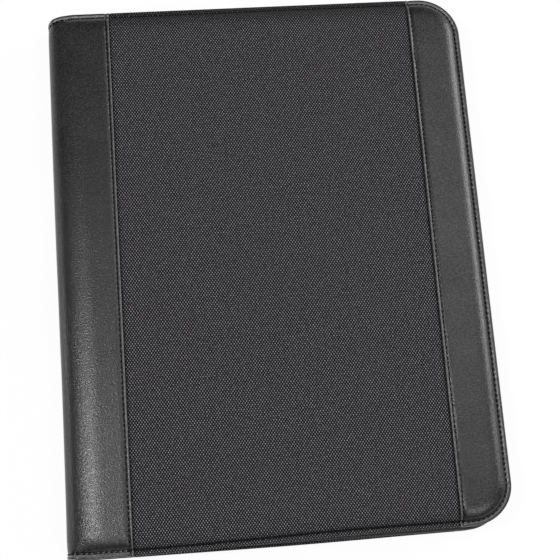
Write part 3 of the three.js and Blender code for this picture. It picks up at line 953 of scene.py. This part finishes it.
def ring_faces(rings, count, closed=True, first=0):
    """Quads between rings of count points each, which are closed or else open lines."""
    faces = []
    for ring in range(rings - 1):
        near = first + ring * count
        far = near + count
        for index in range(count if closed else count - 1):
            after = (index + 1) % count
            faces.append((near + index, near + after, far + after, far + index))
    return faces


def sheet_faces(rows, width):
    """Faces of a closed sheet whose visible points come first, row by row, and then its hidden ones."""
    size = rows * width
    shown = ring_faces(rows, width, closed=False)
    hidden = [tuple(size + index for index in face[::-1]) for face in shown]
    rim = list(range(width)) + [row * width + width - 1 for row in range(1, rows)]
    rim += [size - 2 - column for column in range(width - 1)]
    rim += [row * width for row in range(rows - 2, 0, -1)]
    around = [(near, size + near, size + far, far) for near, far in zip(rim, rim[1:] + rim[:1])]
    return shown + hidden + around


def swept_skin(name, runs, face, seams, plump, material):
    """A stretch of skin with the same section all along it, closed at both ends.

    runs are the places of its sections along the outer face. seams holds (run, side) of each seam, with
    side 1 where the skin is leather with a folded edge there, and -1 where it is fabric that goes under one.
    """
    flat = [HALF_HEIGHT - y for y in spaced(0, HALF_HEIGHT - SHOULDER_END - FLAT_MARGIN, FLAT_STEPS)]
    outer = [(inset, face) for inset in flat] + outer_stations(face)
    inner = inner_stations() + [(inset, LEATHER_INSIDE) for inset in flat[::-1]]
    half = [(*station, True) for station in outer] + [(*station, False) for station in inner]
    lengths = line_lengths([(inset, under[0]) for inset, under, _ in half])
    lower = [(-1, *station, length) for station, length in zip(half, lengths)]
    upper = [(1, *station, length) for station, length in zip(half, lengths)]
    loop = lower[:-1] + upper[:0:-1]
    skin = Skin()
    for run in runs:
        nearest, seam_side = min((abs(run - seam), way) for seam, way in seams)
        relief = seam_relief(nearest) if seam_side > 0 else FABRIC_TUCK * nearness(nearest, 0, TUCK_WIDTH)
        for end, inset, under, outside, length in loop:
            y = end * (HALF_HEIGHT - inset)
            depth = depth_at(under, run)
            if outside and under != LINING_FACE:
                depth += relief - bulge(run, y, inset, plump)
            place = drawn_in(run, y, depth)
            skin.add(place, (run, end * length), inset, run, outside, seam_side * nearest)
    count = len(loop)
    last = (len(runs) - 1) * count
    faces = ring_faces(len(runs), count)
    faces.append(tuple(range(count)))
    faces.append(tuple(range(last + count - 1, last - 1, -1)))
    return skin.build(name, faces, material)


def corner_path(inset, side, near_seam=()):
    """The free edge's line at an inset: from near the seam along the bottom, round both corners and back."""
    corner = CORNER_RADIUS if side > 0 else BACK_CORNER_RADIUS
    radius = corner - inset
    centre_x = HALF_WIDTH - corner
    centre_y = HALF_HEIGHT - corner
    lower = [(x, inset - HALF_HEIGHT) for x in near_seam]
    for angle in spaced(0, math.pi / 2, CORNER_STEPS):
        lower.append((centre_x + radius * math.sin(angle), -centre_y - radius * math.cos(angle)))
    middle = [(HALF_WIDTH - inset, y) for y in spaced(-centre_y, centre_y, SIDE_STEPS)[1:-1]]
    upper = [(x, -y) for x, y in lower[::-1]]
    return lower + middle + upper


def line_lengths(line):
    lengths = [0.0]
    for near, far in zip(line, line[1:]):
        lengths.append(lengths[-1] + math.dist(near, far))
    return lengths


def edge_band(name, side, plump, material):
    """The leather band round the free edge, with both corners. side is 1 for the front, -1 for the back."""
    near_seam = [EDGE_SEAM_X + step * MM for step in SEAM_STEPS]
    base = corner_path(SHOULDER_END, side, near_seam)
    along = line_lengths(corner_path(STITCH_INSET, side, near_seam))
    width = HALF_WIDTH - SHOULDER_END - EDGE_SEAM_X
    reach = HALF_HEIGHT - SHOULDER_END - width
    targets = spaced(-reach, reach, len(base) - 1)

    def inward(share):
        """A ring between the flat's edge and the seam, at a share of the way."""
        return [
            (x + (EDGE_SEAM_X - x) * share, y + (target - y) * share) for (x, y), target in zip(base, targets)
        ]

    rings = [(inward(1 - step * MM / width), FACE, True, SHOULDER_END) for step in BAND_STEPS]
    for stations, outside in ((outer_stations(FACE), True), (inner_stations(), False)):
        for inset, under in stations:
            rings.append((corner_path(inset, side, near_seam), under, outside, inset))
    rings += [(inward(share), LEATHER_INSIDE, False, SHOULDER_END) for share in INNER_RINGS]
    skin = Skin()
    for ring, under, outside, inset in rings:
        for (x, y), length in zip(ring, along):
            depth = under[0]
            if outside and under != LINING_FACE:
                depth += seam_relief(x - EDGE_SEAM_X) - bulge(run_at(x), y, inset, plump)
            skin.add(drawn_in(side * run_at(x), y, depth), (x, y), inset, length, outside, x - EDGE_SEAM_X)
    count = len(base)
    last = (len(rings) - 1) * count
    faces = ring_faces(len(rings), count, closed=False)
    starts = [ring * count for ring in range(len(rings))]
    ends = [start + count - 1 for start in starts]
    inside_seam = range(last + count - 2, last, -1)
    faces.append((*starts[::-1], *range(1, count), *ends[1:], *inside_seam))
    return skin.build(name, faces, material)


def fabric_runs():
    """From seam to seam, close together where the fabric dips under the leather."""
    near = [step * MM for step in FABRIC_STEPS]
    middle = spaced(SPINE_SEAM_RUN + near[-1], EDGE_SEAM_RUN - near[-1], FABRIC_MIDDLE_STEPS)[1:-1]
    return [SPINE_SEAM_RUN + d for d in near] + middle + [EDGE_SEAM_RUN - d for d in near[::-1]]


def bend_runs(steps):
    """From the middle of the spine round to the cover."""
    return spaced(0, SPINE_HALF_FLAT, SPINE_FLAT_STEPS)[:-1] + spaced(SPINE_HALF_FLAT, FOLD_RUN, steps)


def wrap_runs():
    """From the middle of the spine over the fold to the seam, close together at the folded edge."""
    near = [SPINE_SEAM_RUN - step * MM for step in SEAM_STEPS[::-1]]
    return bend_runs(BEND_STEPS) + spaced(FOLD_RUN, near[0], WRAP_STEPS)[1:-1] + near


# Stitches


def stitch_row(name, line, material):
    """Stitches along a line of (point, direction up from the surface), each a short round-ended thread."""
    points = [point for point, _ in line]
    lengths = line_lengths(points)

    def at(distance):
        low = min(max(bisect.bisect_right(lengths, distance) - 1, 0), len(lengths) - 2)
        high = low + 1
        share = (distance - lengths[low]) / (lengths[high] - lengths[low])
        up = line[low][1].lerp(line[high][1], share).normalized()
        return points[low].lerp(points[high], share), (points[high] - points[low]).normalized(), up

    vertices, faces = [], []
    for number in range(int(lengths[-1] / STITCH_PITCH)):
        first = len(vertices)
        start = (number + 0.5) * STITCH_PITCH - STITCH_LENGTH / 2
        for share, size, lift in STITCH_PROFILE:
            place, along, up = at(start + share * STITCH_LENGTH)
            across = along.cross(up).normalized()
            centre = place + up * lift * THREAD
            for corner in range(STITCH_SIDES):
                angle = 2 * math.pi * corner / STITCH_SIDES
                reach = across * math.cos(angle) + up * math.sin(angle) * THREAD_FLATNESS
                vertices.append(centre + reach * size * THREAD / 2)
        faces += ring_faces(len(STITCH_PROFILE), STITCH_SIDES, first=first)
        faces.append(tuple(range(first + STITCH_SIDES - 1, first - 1, -1)))
        faces.append(tuple(range(len(vertices) - STITCH_SIDES, len(vertices))))
    return mesh_object(name, vertices, faces, material)


def sew(name, line, body, slot="inner_leather", material=INNER_THREAD_FINISH):
    declare(stitch_row(name, line, material), body, slot)


def level_line(points, height, up):
    """A stitch line at one height, on a side that looks up (1) or down (-1)."""
    return [(Vector((x, y, height)), Vector((0, 0, up))) for x, y in points]


def edge_line(runs, end):
    """The rim's stitch line along a stretch at the top (end 1) or bottom (end -1) edge."""
    y = end * (HALF_HEIGHT - STITCH_INSET)
    return [(drawn_in(run, y, depth_at(STITCH_LEVEL, run)), outward(run)) for run in runs]


def cover_rim_line(side):
    """The rim's stitch line from the spine band's seam along the bottom, round the free edge and back."""
    path = corner_path(STITCH_INSET, side, spaced(SPINE_SEAM_X, EDGE_SEAM_X, RIM_LINE_STEPS)[:-1])
    return [(drawn_in(side * run_at(x), y, STITCH_DEPTH), Vector((0, 0, side))) for x, y in path]


def seam_line(run, plump):
    """The stitch line up the page beside a seam, following the shoulders down to the rim at both ends."""
    reach = HALF_HEIGHT - STITCH_INSET - SEAM_STITCH_END
    line = []
    for y in spaced(-reach, reach, SEAM_LINE_STEPS):
        inset = HALF_HEIGHT - abs(y)
        depth = depth_at(STITCH_LEVEL, run) * (1 - on_flat(inset))
        depth += seam_relief(SEAM_STITCH_INSET) - bulge(run, y, inset, plump)
        line.append((drawn_in(run, y, depth), outward(run)))
    return line


def add_stitches(cover, side, plump, fold):
    rows = (
        ("rim", cover_rim_line(side)),
        ("edge_seam", seam_line(side * (EDGE_SEAM_RUN + SEAM_STITCH_INSET), plump)),
        ("spine_seam", seam_line(side * (SPINE_SEAM_RUN - SEAM_STITCH_INSET), plump)),
    )
    for label, line in rows:
        sew(f"{cover}_{label}_stitches", line, f"{cover}_cover", "leather", THREAD_FINISH)
    runs = [side * run for run in spaced(0, SPINE_SEAM_RUN, FOLD_LINE_STEPS)]
    for label, end in (("top", 1), ("bottom", -1)):
        sew(f"{cover}_fold_{label}_stitches", edge_line(runs, end), fold, "leather", THREAD_FINISH)


def add_cover_skin(cover, side, plump, fold):
    """The padded skin: the fabric panel, the band round the free edge, and the wrap over the spine."""
    spine_seam, edge_seam = side * SPINE_SEAM_RUN, side * EDGE_SEAM_RUN
    runs = [side * run for run in fabric_runs()]
    seams = [(spine_seam, -1), (edge_seam, -1)]
    panel = swept_skin(f"{cover}_panel", runs, FABRIC_FACE, seams, plump, FABRIC_FINISH)
    declare(panel, f"{cover}_cover", "woven_fabric", f"{cover}_fabric_panel", f"{cover}_padding")
    band = edge_band(f"{cover}_band", side, plump, LEATHER_FINISH)
    declare(band, f"{cover}_cover", "leather", f"{cover}_edge_band")
    runs = [side * run for run in wrap_runs()]
    wrap = swept_skin(f"{cover}_wrap", runs, FACE, [(spine_seam, 1)], plump, LEATHER_FINISH)
    declare(wrap, fold, "leather", f"{cover}_spine_band", "spine_leather", "spine_padding")
    add_stitches(cover, side, plump, fold)


# The inside


def corner_cut(radius, distance):
    """How far a round corner draws a side in, by the distance from the corner along that side."""
    if distance >= radius:
        return 0.0
    return radius - math.sqrt(max(0.0, radius * radius - (radius - distance) ** 2))


def grid_lines(start, end, extra=()):
    """Places from one edge to the other, close together near both, with extra ones kept."""
    near = [start + step for step in EDGE_STEPS] + [end - step for step in EDGE_STEPS]
    count = math.ceil((end - start - 2 * EDGE_STEPS[-1]) / GRID_STEP)
    middle = spaced(start + EDGE_STEPS[-1], end - EDGE_STEPS[-1], count)[1:-1]
    free = [line for line in middle if all(abs(line - kept) > LINE_CLEARANCE for kept in extra)]
    return sorted([*near, *free, *extra])


class Panel:
    """A sheet sewn to a cover's inside.

    low and high are the corners of the box that it fills, and up is 1 on the back cover and -1 on the front.
    corners holds its radii at the lower left, lower right, upper left and upper right. mouth gives the
    height of its top edge at an x and an inset. rises holds, for the left, right and bottom side, how far in
    it starts and ends rising off what it lies on. belly is how far its open edge gapes.
    """

    def __init__(self, node, up, thickness, corners=(0, 0, 0, 0), mouth=None, rises=None, belly=0.0, hem=0.0):
        self.low, self.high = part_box(node)
        self.up = up
        self.base = self.low.z if up > 0 else self.high.z
        self.thickness = thickness
        self.space = self.high.z - self.low.z - thickness
        self.corners = corners
        self.mouth = mouth or self.straight_mouth
        self.rises = rises
        self.belly = belly
        self.hem = hem

    def straight_mouth(self, x, inset=0.0):
        return self.high.y - inset

    def sides(self, y):
        """Where the left and the right side are at a height."""
        below, above = y - self.low.y, self.high.y - y
        left = max(corner_cut(self.corners[0], below), corner_cut(self.corners[2], above))
        right = max(corner_cut(self.corners[1], below), corner_cut(self.corners[3], above))
        return self.low.x + left, self.high.x - right

    def place(self, column, row):
        """The point of the sheet at a place in its box."""
        share = (row - self.low.y) / (self.high.y - self.low.y)
        y = self.low.y + (self.mouth(column) - self.low.y) * share
        left, right = self.sides(y)
        return left + (right - left) * (column - self.low.x) / (self.high.x - self.low.x), y

    def gaps(self, x, y):
        """How far a point lies in from the left, right, bottom and top side."""
        gaps = [x - self.low.x, self.high.x - x, y - self.low.y, self.mouth(x) - y]
        for radius, (side, end) in zip(self.corners, ((0, 2), (1, 2), (0, 3), (1, 3))):
            if gaps[side] < radius and gaps[end] < radius:
                gap = radius - math.hypot(radius - gaps[side], radius - gaps[end])
                gaps[side] = gaps[end] = max(gap, 0.0)
        return gaps

    def lift(self, x, y):
        """How far the sheet's hidden side stands off what it lies on."""
        if self.rises is None:
            return 0.0
        risen = min(smooth_share(gap, *rise) for gap, rise in zip(self.gaps(x, y), self.rises))
        across = math.sin(math.pi * clamped((x - self.low.x) / (self.high.x - self.low.x)))
        gape = self.belly * across * smooth_share(y, self.low.y, self.high.y)
        return (self.space + gape) * risen

    def face(self, x, y):
        """The height of the visible side."""
        gaps = self.gaps(x, y)
        height = self.thickness + self.lift(x, y)
        height += self.hem * (1 - smooth_share(gaps[3], HEM_WIDTH - HEM_EDGE, HEM_WIDTH))
        height -= corner_cut(EDGE_ROUND, max(min(gaps), 0.0))
        return self.base + self.up * height

    def edge_line(self, inset, with_left=True):
        """At an inset from the sewn sides: down the left, along the bottom and up the right."""
        left, right = self.low.x + inset, self.high.x - inset
        bottom = self.low.y + inset
        points = []
        if with_left:
            points += [(left, y) for y in spaced(self.mouth(left) - inset, bottom, SIDE_LINE_STEPS)[:-1]]
        radius = max(self.corners[1] - inset, SHARPEST_TURN)
        points += [(x, bottom) for x in spaced(left, right - radius, SIDE_LINE_STEPS)]
        for angle in spaced(0, math.pi / 2, TURN_LINE_STEPS)[1:]:
            across = right - radius * (1 - math.sin(angle))
            points.append((across, bottom + radius * (1 - math.cos(angle))))
        rise = spaced(bottom + radius, self.mouth(right) - inset, SIDE_LINE_STEPS)
        points += [(right, y) for y in rise[1:]]
        return self.line(points)

    def hem_line(self, steps):
        """Along the hem under the open edge."""
        places = spaced(self.low.x + HEM_STITCH_END, self.high.x - HEM_STITCH_END, steps)
        return self.line([(x, self.mouth(x, HEM_STITCH)) for x in places])

    def line(self, points):
        return [(Vector((x, y, self.face(x, y))), Vector((0, 0, self.up))) for x, y in points]


def panel_mesh(name, panel, material, extra_columns=(), pull_side=0):
    """The closed mesh of a panel, and its flat area. pull_side draws its ends in with a cover's skin."""
    columns = grid_lines(panel.low.x, panel.high.x, extra_columns)
    rows = grid_lines(panel.low.y, panel.high.y)
    places = [[panel.place(column, row) for column in columns] for row in rows]
    area = 0.0
    for lower, upper in zip(places, places[1:]):
        for a, b, c, d in zip(lower, lower[1:], upper[1:], upper):
            area += abs((c[0] - a[0]) * (d[1] - b[1]) - (d[0] - b[0]) * (c[1] - a[1])) / 2
    points, uvs = [], []
    for visible in (True, False):
        for row in places:
            for x, y in row:
                z = panel.face(x, y) if visible else panel.base + panel.up * (panel.lift(x, y) + SHEET_LIFT)
                if pull_side:
                    y = drawn_in(pull_side * run_at(x), y, 0).y
                points.append((x, y, z))
                uvs.append((x, y))
    faces = sheet_faces(len(rows), len(columns))
    return mesh_object(name, points, faces, material, uvs, SHEET_CREASE), area


def sew_panel(name, panel, body, node, extra_columns=()):
    """Makes a panel of leather in place of a node."""
    declare_panel(panel, *panel_mesh(name, panel, INNER_FINISH, extra_columns), body, "inner_leather", node)


def declare_panel(panel, made, area, body, slot, node):
    """Attaches a panel's mesh to its body and hides the node that it stands for."""
    declare(made, body, slot, node)


def add_lining(cover, side):
    """The lining cloth of a cover, cut to meet the leather turned in round the rim."""
    corner = CORNER_RADIUS - TURNED_LIP
    node = f"{cover}_lining"
    panel = Panel(node, -side, COVER_THICKNESS - LINING_DEPTH, corners=(0, corner, 0, corner))
    made, area = panel_mesh(f"{node}_cloth", panel, LINING_FINISH, pull_side=side)
    declare_panel(panel, made, area, f"{cover}_cover", "lining", node)


def add_gutter_strip(cover, side, fold, *nodes):
    """The leather strip inside the fold, from the middle of the spine to a cover's lining."""
    reach = HALF_HEIGHT - TURNED_LIP
    rows = grid_lines(-reach, reach)
    runs = bend_runs(GUTTER_STEPS)
    points, uvs = [], []
    for under, visible in ((LINING_FACE, True), (LINING_LEVEL, False)):
        for length in runs:
            for y in rows:
                depth = depth_at(under, length)
                if visible:
                    depth -= corner_cut(EDGE_ROUND, reach - abs(y))
                    depth -= corner_cut(EDGE_ROUND, FOLD_RUN - length)
                else:
                    depth += SHEET_LIFT
                points.append(drawn_in(side * length, y, depth))
                uvs.append((length, y))
    faces = sheet_faces(len(runs), len(rows))
    strip = mesh_object(f"{cover}_gutter_strip", points, faces, INNER_FINISH, uvs, SHEET_CREASE)
    declare(strip, fold, "inner_leather", *nodes)
    middle = [fold_point(side * length, 0, depth_at(LINING_FACE, length)) for length in runs]
    run = side * (FOLD_RUN - GUTTER_STITCH)
    depth = depth_at(LINING_FACE, run)
    places = spaced(-reach + GUTTER_STITCH, reach - GUTTER_STITCH, GUTTER_LINE_STEPS)
    sew(f"{cover}_gutter_stitches", [(drawn_in(run, y, depth), -outward(run)) for y in places], fold)


def add_pad_sleeve():
    """Leather sleeve, open at the top, with a thumb notch in its hemmed edge."""
    low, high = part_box("pad_sleeve")
    middle = (low.x + high.x) / 2

    def mouth(x, inset=0.0):
        radius = THUMB_NOTCH + inset
        return high.y - inset - math.sqrt(max(0.0, radius * radius - (x - middle) ** 2))

    panel = Panel(
        "pad_sleeve", 1, SLEEVE_THICKNESS, corners=(0, SLEEVE_CORNER, 0, 0), mouth=mouth,
        rises=SLEEVE_RISES, hem=SLEEVE_HEM,
    )
    turns = spaced(-math.pi / 2, math.pi / 2, NOTCH_STEPS)
    notch_columns = [middle + THUMB_NOTCH * math.sin(angle) for angle in turns]
    sew_panel("sleeve_panel", panel, "back_cover", "pad_sleeve", notch_columns)
    places = spaced(high.y - ROW_END, low.y + ROW_END, SLEEVE_LINE_STEPS)
    spine_side = [(low.x + SLEEVE_SPINE_STITCH, y) for y in places]
    sew("sleeve_spine_stitches", panel.line(spine_side), "back_cover")
    sew("sleeve_stitches", panel.edge_line(SLEEVE_STITCH, with_left=False), "back_cover")
    sew("sleeve_hem_stitches", panel.hem_line(steps=200), "back_cover")


def add_document_pocket():
    """Wide pocket on the front cover's inside, with a slanted open edge that gapes a little."""
    low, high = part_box("document_pocket")

    def mouth(x, inset=0.0):
        return high.y - inset - POCKET_EDGE_DROP * clamped((x - low.x) / (high.x - low.x))

    panel = Panel(
        "document_pocket", -1, POCKET_THICKNESS, corners=(0, POCKET_CORNER, 0, 0), mouth=mouth,
        rises=POCKET_RISES, belly=POCKET_BELLY, hem=POCKET_HEM,
    )
    sew_panel("document_pocket_panel", panel, "front_cover", "document_pocket")
    sew("document_pocket_stitches", panel.edge_line(POCKET_STITCH), "front_cover")
    sew("document_pocket_hem_stitches", panel.hem_line(steps=160), "front_cover")


def add_card_pockets():
    """Three card pockets, each a step shorter than the one behind it."""
    for number in (1, 2, 3):
        node = f"card_pocket_{number}"
        low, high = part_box(node)
        panel = Panel(node, -1, high.z - low.z, corners=(CARD_POCKET_CORNER,) * 4, hem=CARD_POCKET_HEM)
        sew_panel(f"{node}_panel", panel, "front_cover", node)
        sew(f"{node}_hem_stitches", panel.hem_line(steps=40), "front_cover")
    sew("card_pocket_stitches", panel.edge_line(POCKET_STITCH), "front_cover")


def softened(node, name, material, width):
    """A copy of a node with its edges rounded over."""
    made = new_object(name, bpy.data.objects[node].data.copy())
    made.data.materials.clear()
    made.data.materials.append(material)
    select_only(made)
    bpy.ops.object.mode_set(mode="EDIT")
    bpy.ops.mesh.select_all(action="SELECT")
    bpy.ops.mesh.remove_doubles(threshold=JOINED)
    bpy.ops.mesh.dissolve_limited(angle_limit=FLAT_ANGLE)
    bpy.ops.object.mode_set(mode="OBJECT")
    bevel = made.modifiers.new("soft_edges", "BEVEL")
    bevel.width = width
    bevel.segments = 2
    bevel.limit_method = "ANGLE"
    bevel.angle_limit = BEVEL_ANGLE
    bpy.ops.object.modifier_apply(modifier=bevel.name)
    smooth_up_to(made, SOFTENED_CREASE)
    return made


def add_id_window():
    """A leather frame sewn on over a clear film."""
    frame_piece = softened("id_window_frame", "window_frame", INNER_FINISH, WINDOW_ROUND)
    declare(frame_piece, "front_cover", "inner_leather", "id_window_frame")
    low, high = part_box("id_window_frame")
    for label, inset in (("outer", POCKET_STITCH), ("inner", WINDOW_BORDER - WINDOW_INNER_STITCH)):
        left, right = low.x + inset, high.x - inset
        bottom, top = low.y + inset, high.y - inset
        corners = ((left, top), (left, bottom), (right, bottom), (right, top), (left, top))
        ring = [corners[0]]
        for (x, y), (next_x, next_y) in zip(corners, corners[1:]):
            between = zip(spaced(x, next_x, WINDOW_LINE_STEPS), spaced(y, next_y, WINDOW_LINE_STEPS))
            ring += list(between)[1:]
        sew(f"window_{label}_stitches", level_line(ring, low.z, -1), "front_cover")
    dress("id_window", FILM_FINISH)


def dress(node, material):
    """Gives a node of the frame its finish."""
    mesh = bpy.data.objects[node].data
    mesh.materials.clear()
    mesh.materials.append(material)


def select_vertices(made, wanted):
    """Selects, in edit mode, the vertices whose place passes a test."""
    bpy.ops.mesh.select_all(action="DESELECT")
    work = bmesh.from_edit_mesh(made.data)
    for vertex in work.verts:
        vertex.select = wanted(vertex.co)
    work.select_flush(True)
    bmesh.update_edit_mesh(made.data)


def shape_piece(name, size, middle):
    """Gives the new piece, in edit mode, its size and its place in its mesh."""
    made = bpy.context.object
    made.name = name
    bpy.ops.object.mode_set(mode="EDIT")
    bpy.ops.mesh.select_all(action="SELECT")
    bpy.ops.transform.resize(value=size)
    bpy.ops.transform.translate(value=middle)
    return made


def finish_piece(made, material, crease):
    bpy.ops.object.mode_set(mode="OBJECT")
    made.data.materials.append(material)
    smooth_up_to(made, crease)


def add_pen_loop():
    """Ribbed elastic: a foot sewn down on either side, and a round loop that stands up between them."""
    low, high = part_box("pen_loop")
    middle_x, middle_y = (low.x + high.x) / 2, (low.y + high.y) / 2
    radius = (high.z - low.z - ELASTIC) / 2
    centre_z = high.z - ELASTIC / 2 - radius
    foot_z = low.z + ELASTIC / 2 + SHEET_LIFT
    neck_z = centre_z - radius * math.sin(LOOP_ANGLE)
    turn = math.pi / 2 + LOOP_ANGLE
    neck_radius = (neck_z - foot_z) / (1 - math.cos(turn))
    foot_end = radius * math.cos(LOOP_ANGLE) + neck_radius * math.sin(turn)
    foot = (middle_x - low.x) - foot_end
    bpy.ops.object.select_all(action="DESELECT")
    bpy.ops.mesh.primitive_grid_add(x_subdivisions=2, y_subdivisions=4 * LOOP_RIBS, size=1)
    loop = shape_piece("pen_loop_elastic", (foot, high.y - low.y, 1), (low.x + foot / 2, middle_y, foot_z))
    pitch = (high.y - low.y) / LOOP_RIBS
    select_vertices(loop, lambda place: abs((place.y - low.y) / pitch % 1 - 0.5) < RIB_WIDTH_SHARE / 2)
    bpy.ops.transform.translate(value=(0, 0, RIB_HEIGHT))
    inner_end = low.x + foot
    select_vertices(loop, lambda place: place.x > inner_end - ON_PLANE)
    neck_height = foot_z + neck_radius
    spins = (
        (NECK_STEPS, turn, (inner_end, middle_y, neck_height)),
        (LOOP_STEPS, -2 * turn, (middle_x, middle_y, centre_z)),
        (NECK_STEPS, turn, (2 * middle_x - inner_end, middle_y, neck_height)),
    )
    for steps, angle, centre in spins:
        bpy.ops.mesh.spin(steps=steps, angle=angle, center=centre, axis=(0, 1, 0))
    bpy.ops.mesh.extrude_edges_move(TRANSFORM_OT_translate={"value": (foot, 0, 0)})
    bpy.ops.mesh.select_all(action="SELECT")
    bpy.ops.mesh.remove_doubles(threshold=JOINED)
    bpy.ops.mesh.normals_make_consistent(inside=False)
    finish_piece(loop, ELASTIC_FINISH, LOOP_CREASE)
    wall = loop.modifiers.new("thickness", "SOLIDIFY")
    wall.thickness = ELASTIC
    wall.offset = 0
    bpy.context.view_layer.objects.active = loop
    bpy.ops.object.modifier_apply(modifier=wall.name)
    declare(loop, "back_cover", "elastic", "pen_loop")
    places = spaced(low.y + ROW_END, high.y - ROW_END, LOOP_LINE_STEPS)
    for label, x in (("inner", low.x + LOOP_STITCH), ("pad", high.x - LOOP_STITCH)):
        line = level_line([(x, y) for y in places], foot_z + ELASTIC / 2, 1)
        sew(f"pen_loop_{label}_stitches", line, "back_cover")


def add_writing_pad():
    """A block of ruled sheets, bound with cloth tape along the top and backed with card."""
    low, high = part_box("pad_sheets")
    bpy.ops.object.select_all(action="DESELECT")
    bpy.ops.mesh.primitive_cube_add(size=1)
    pages = shape_piece("pad_pages", tuple(high - low), tuple((low + high) / 2))
    for cut in range(1, PAGE_CUTS):
        z = low.z + (high.z - low.z) * cut / PAGE_CUTS
        bpy.ops.mesh.select_all(action="SELECT")
        bpy.ops.mesh.bisect(plane_co=(0, 0, z), plane_no=(0, 0, 1))
        select_vertices(pages, lambda place: abs(place.z - z) < ON_PLANE)
        shift = [PAGE_SHIFT * math.sin(wave * cut) for wave in PAGE_WAVES]
        bpy.ops.transform.translate(value=(*shift, 0))
    ruled_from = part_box("pad_binding")[0].y - RULING_HEAD
    finish_piece(pages, paper_material(ruled_from, low.y + RULING), PAGE_CREASE)
    declare(pages, "writing_pad", "paper", "pad_sheets")
    binding = softened("pad_binding", "pad_tape", TAPE_FINISH, TAPE_ROUND)
    declare(binding, "writing_pad", "binding_tape", "pad_binding")
    dress("pad_backing_card", CARD_FINISH)


def add_boards():
    for node in ("back_board", "front_board", "spine_stiffener"):
        dress(node, BOARD_FINISH)


add_camera()
add_lamps()
add_surroundings()
add_floor()
add_cover_skin("front", 1, PLUMP, FRONT_BLEND)
add_cover_skin("back", -1, 0, BACK_BLEND)
add_lining("front", 1)
add_lining("back", -1)
add_gutter_strip("front", 1, FRONT_INNER_BLEND, "front_gutter_lining", "spine_lining")
add_gutter_strip("back", -1, BACK_INNER_BLEND, "back_gutter_lining")
add_boards()
add_pad_sleeve()
add_pen_loop()
add_writing_pad()
add_document_pocket()
add_card_pockets()
add_id_window()

bpy.context.scene.view_settings.view_transform = "Standard"
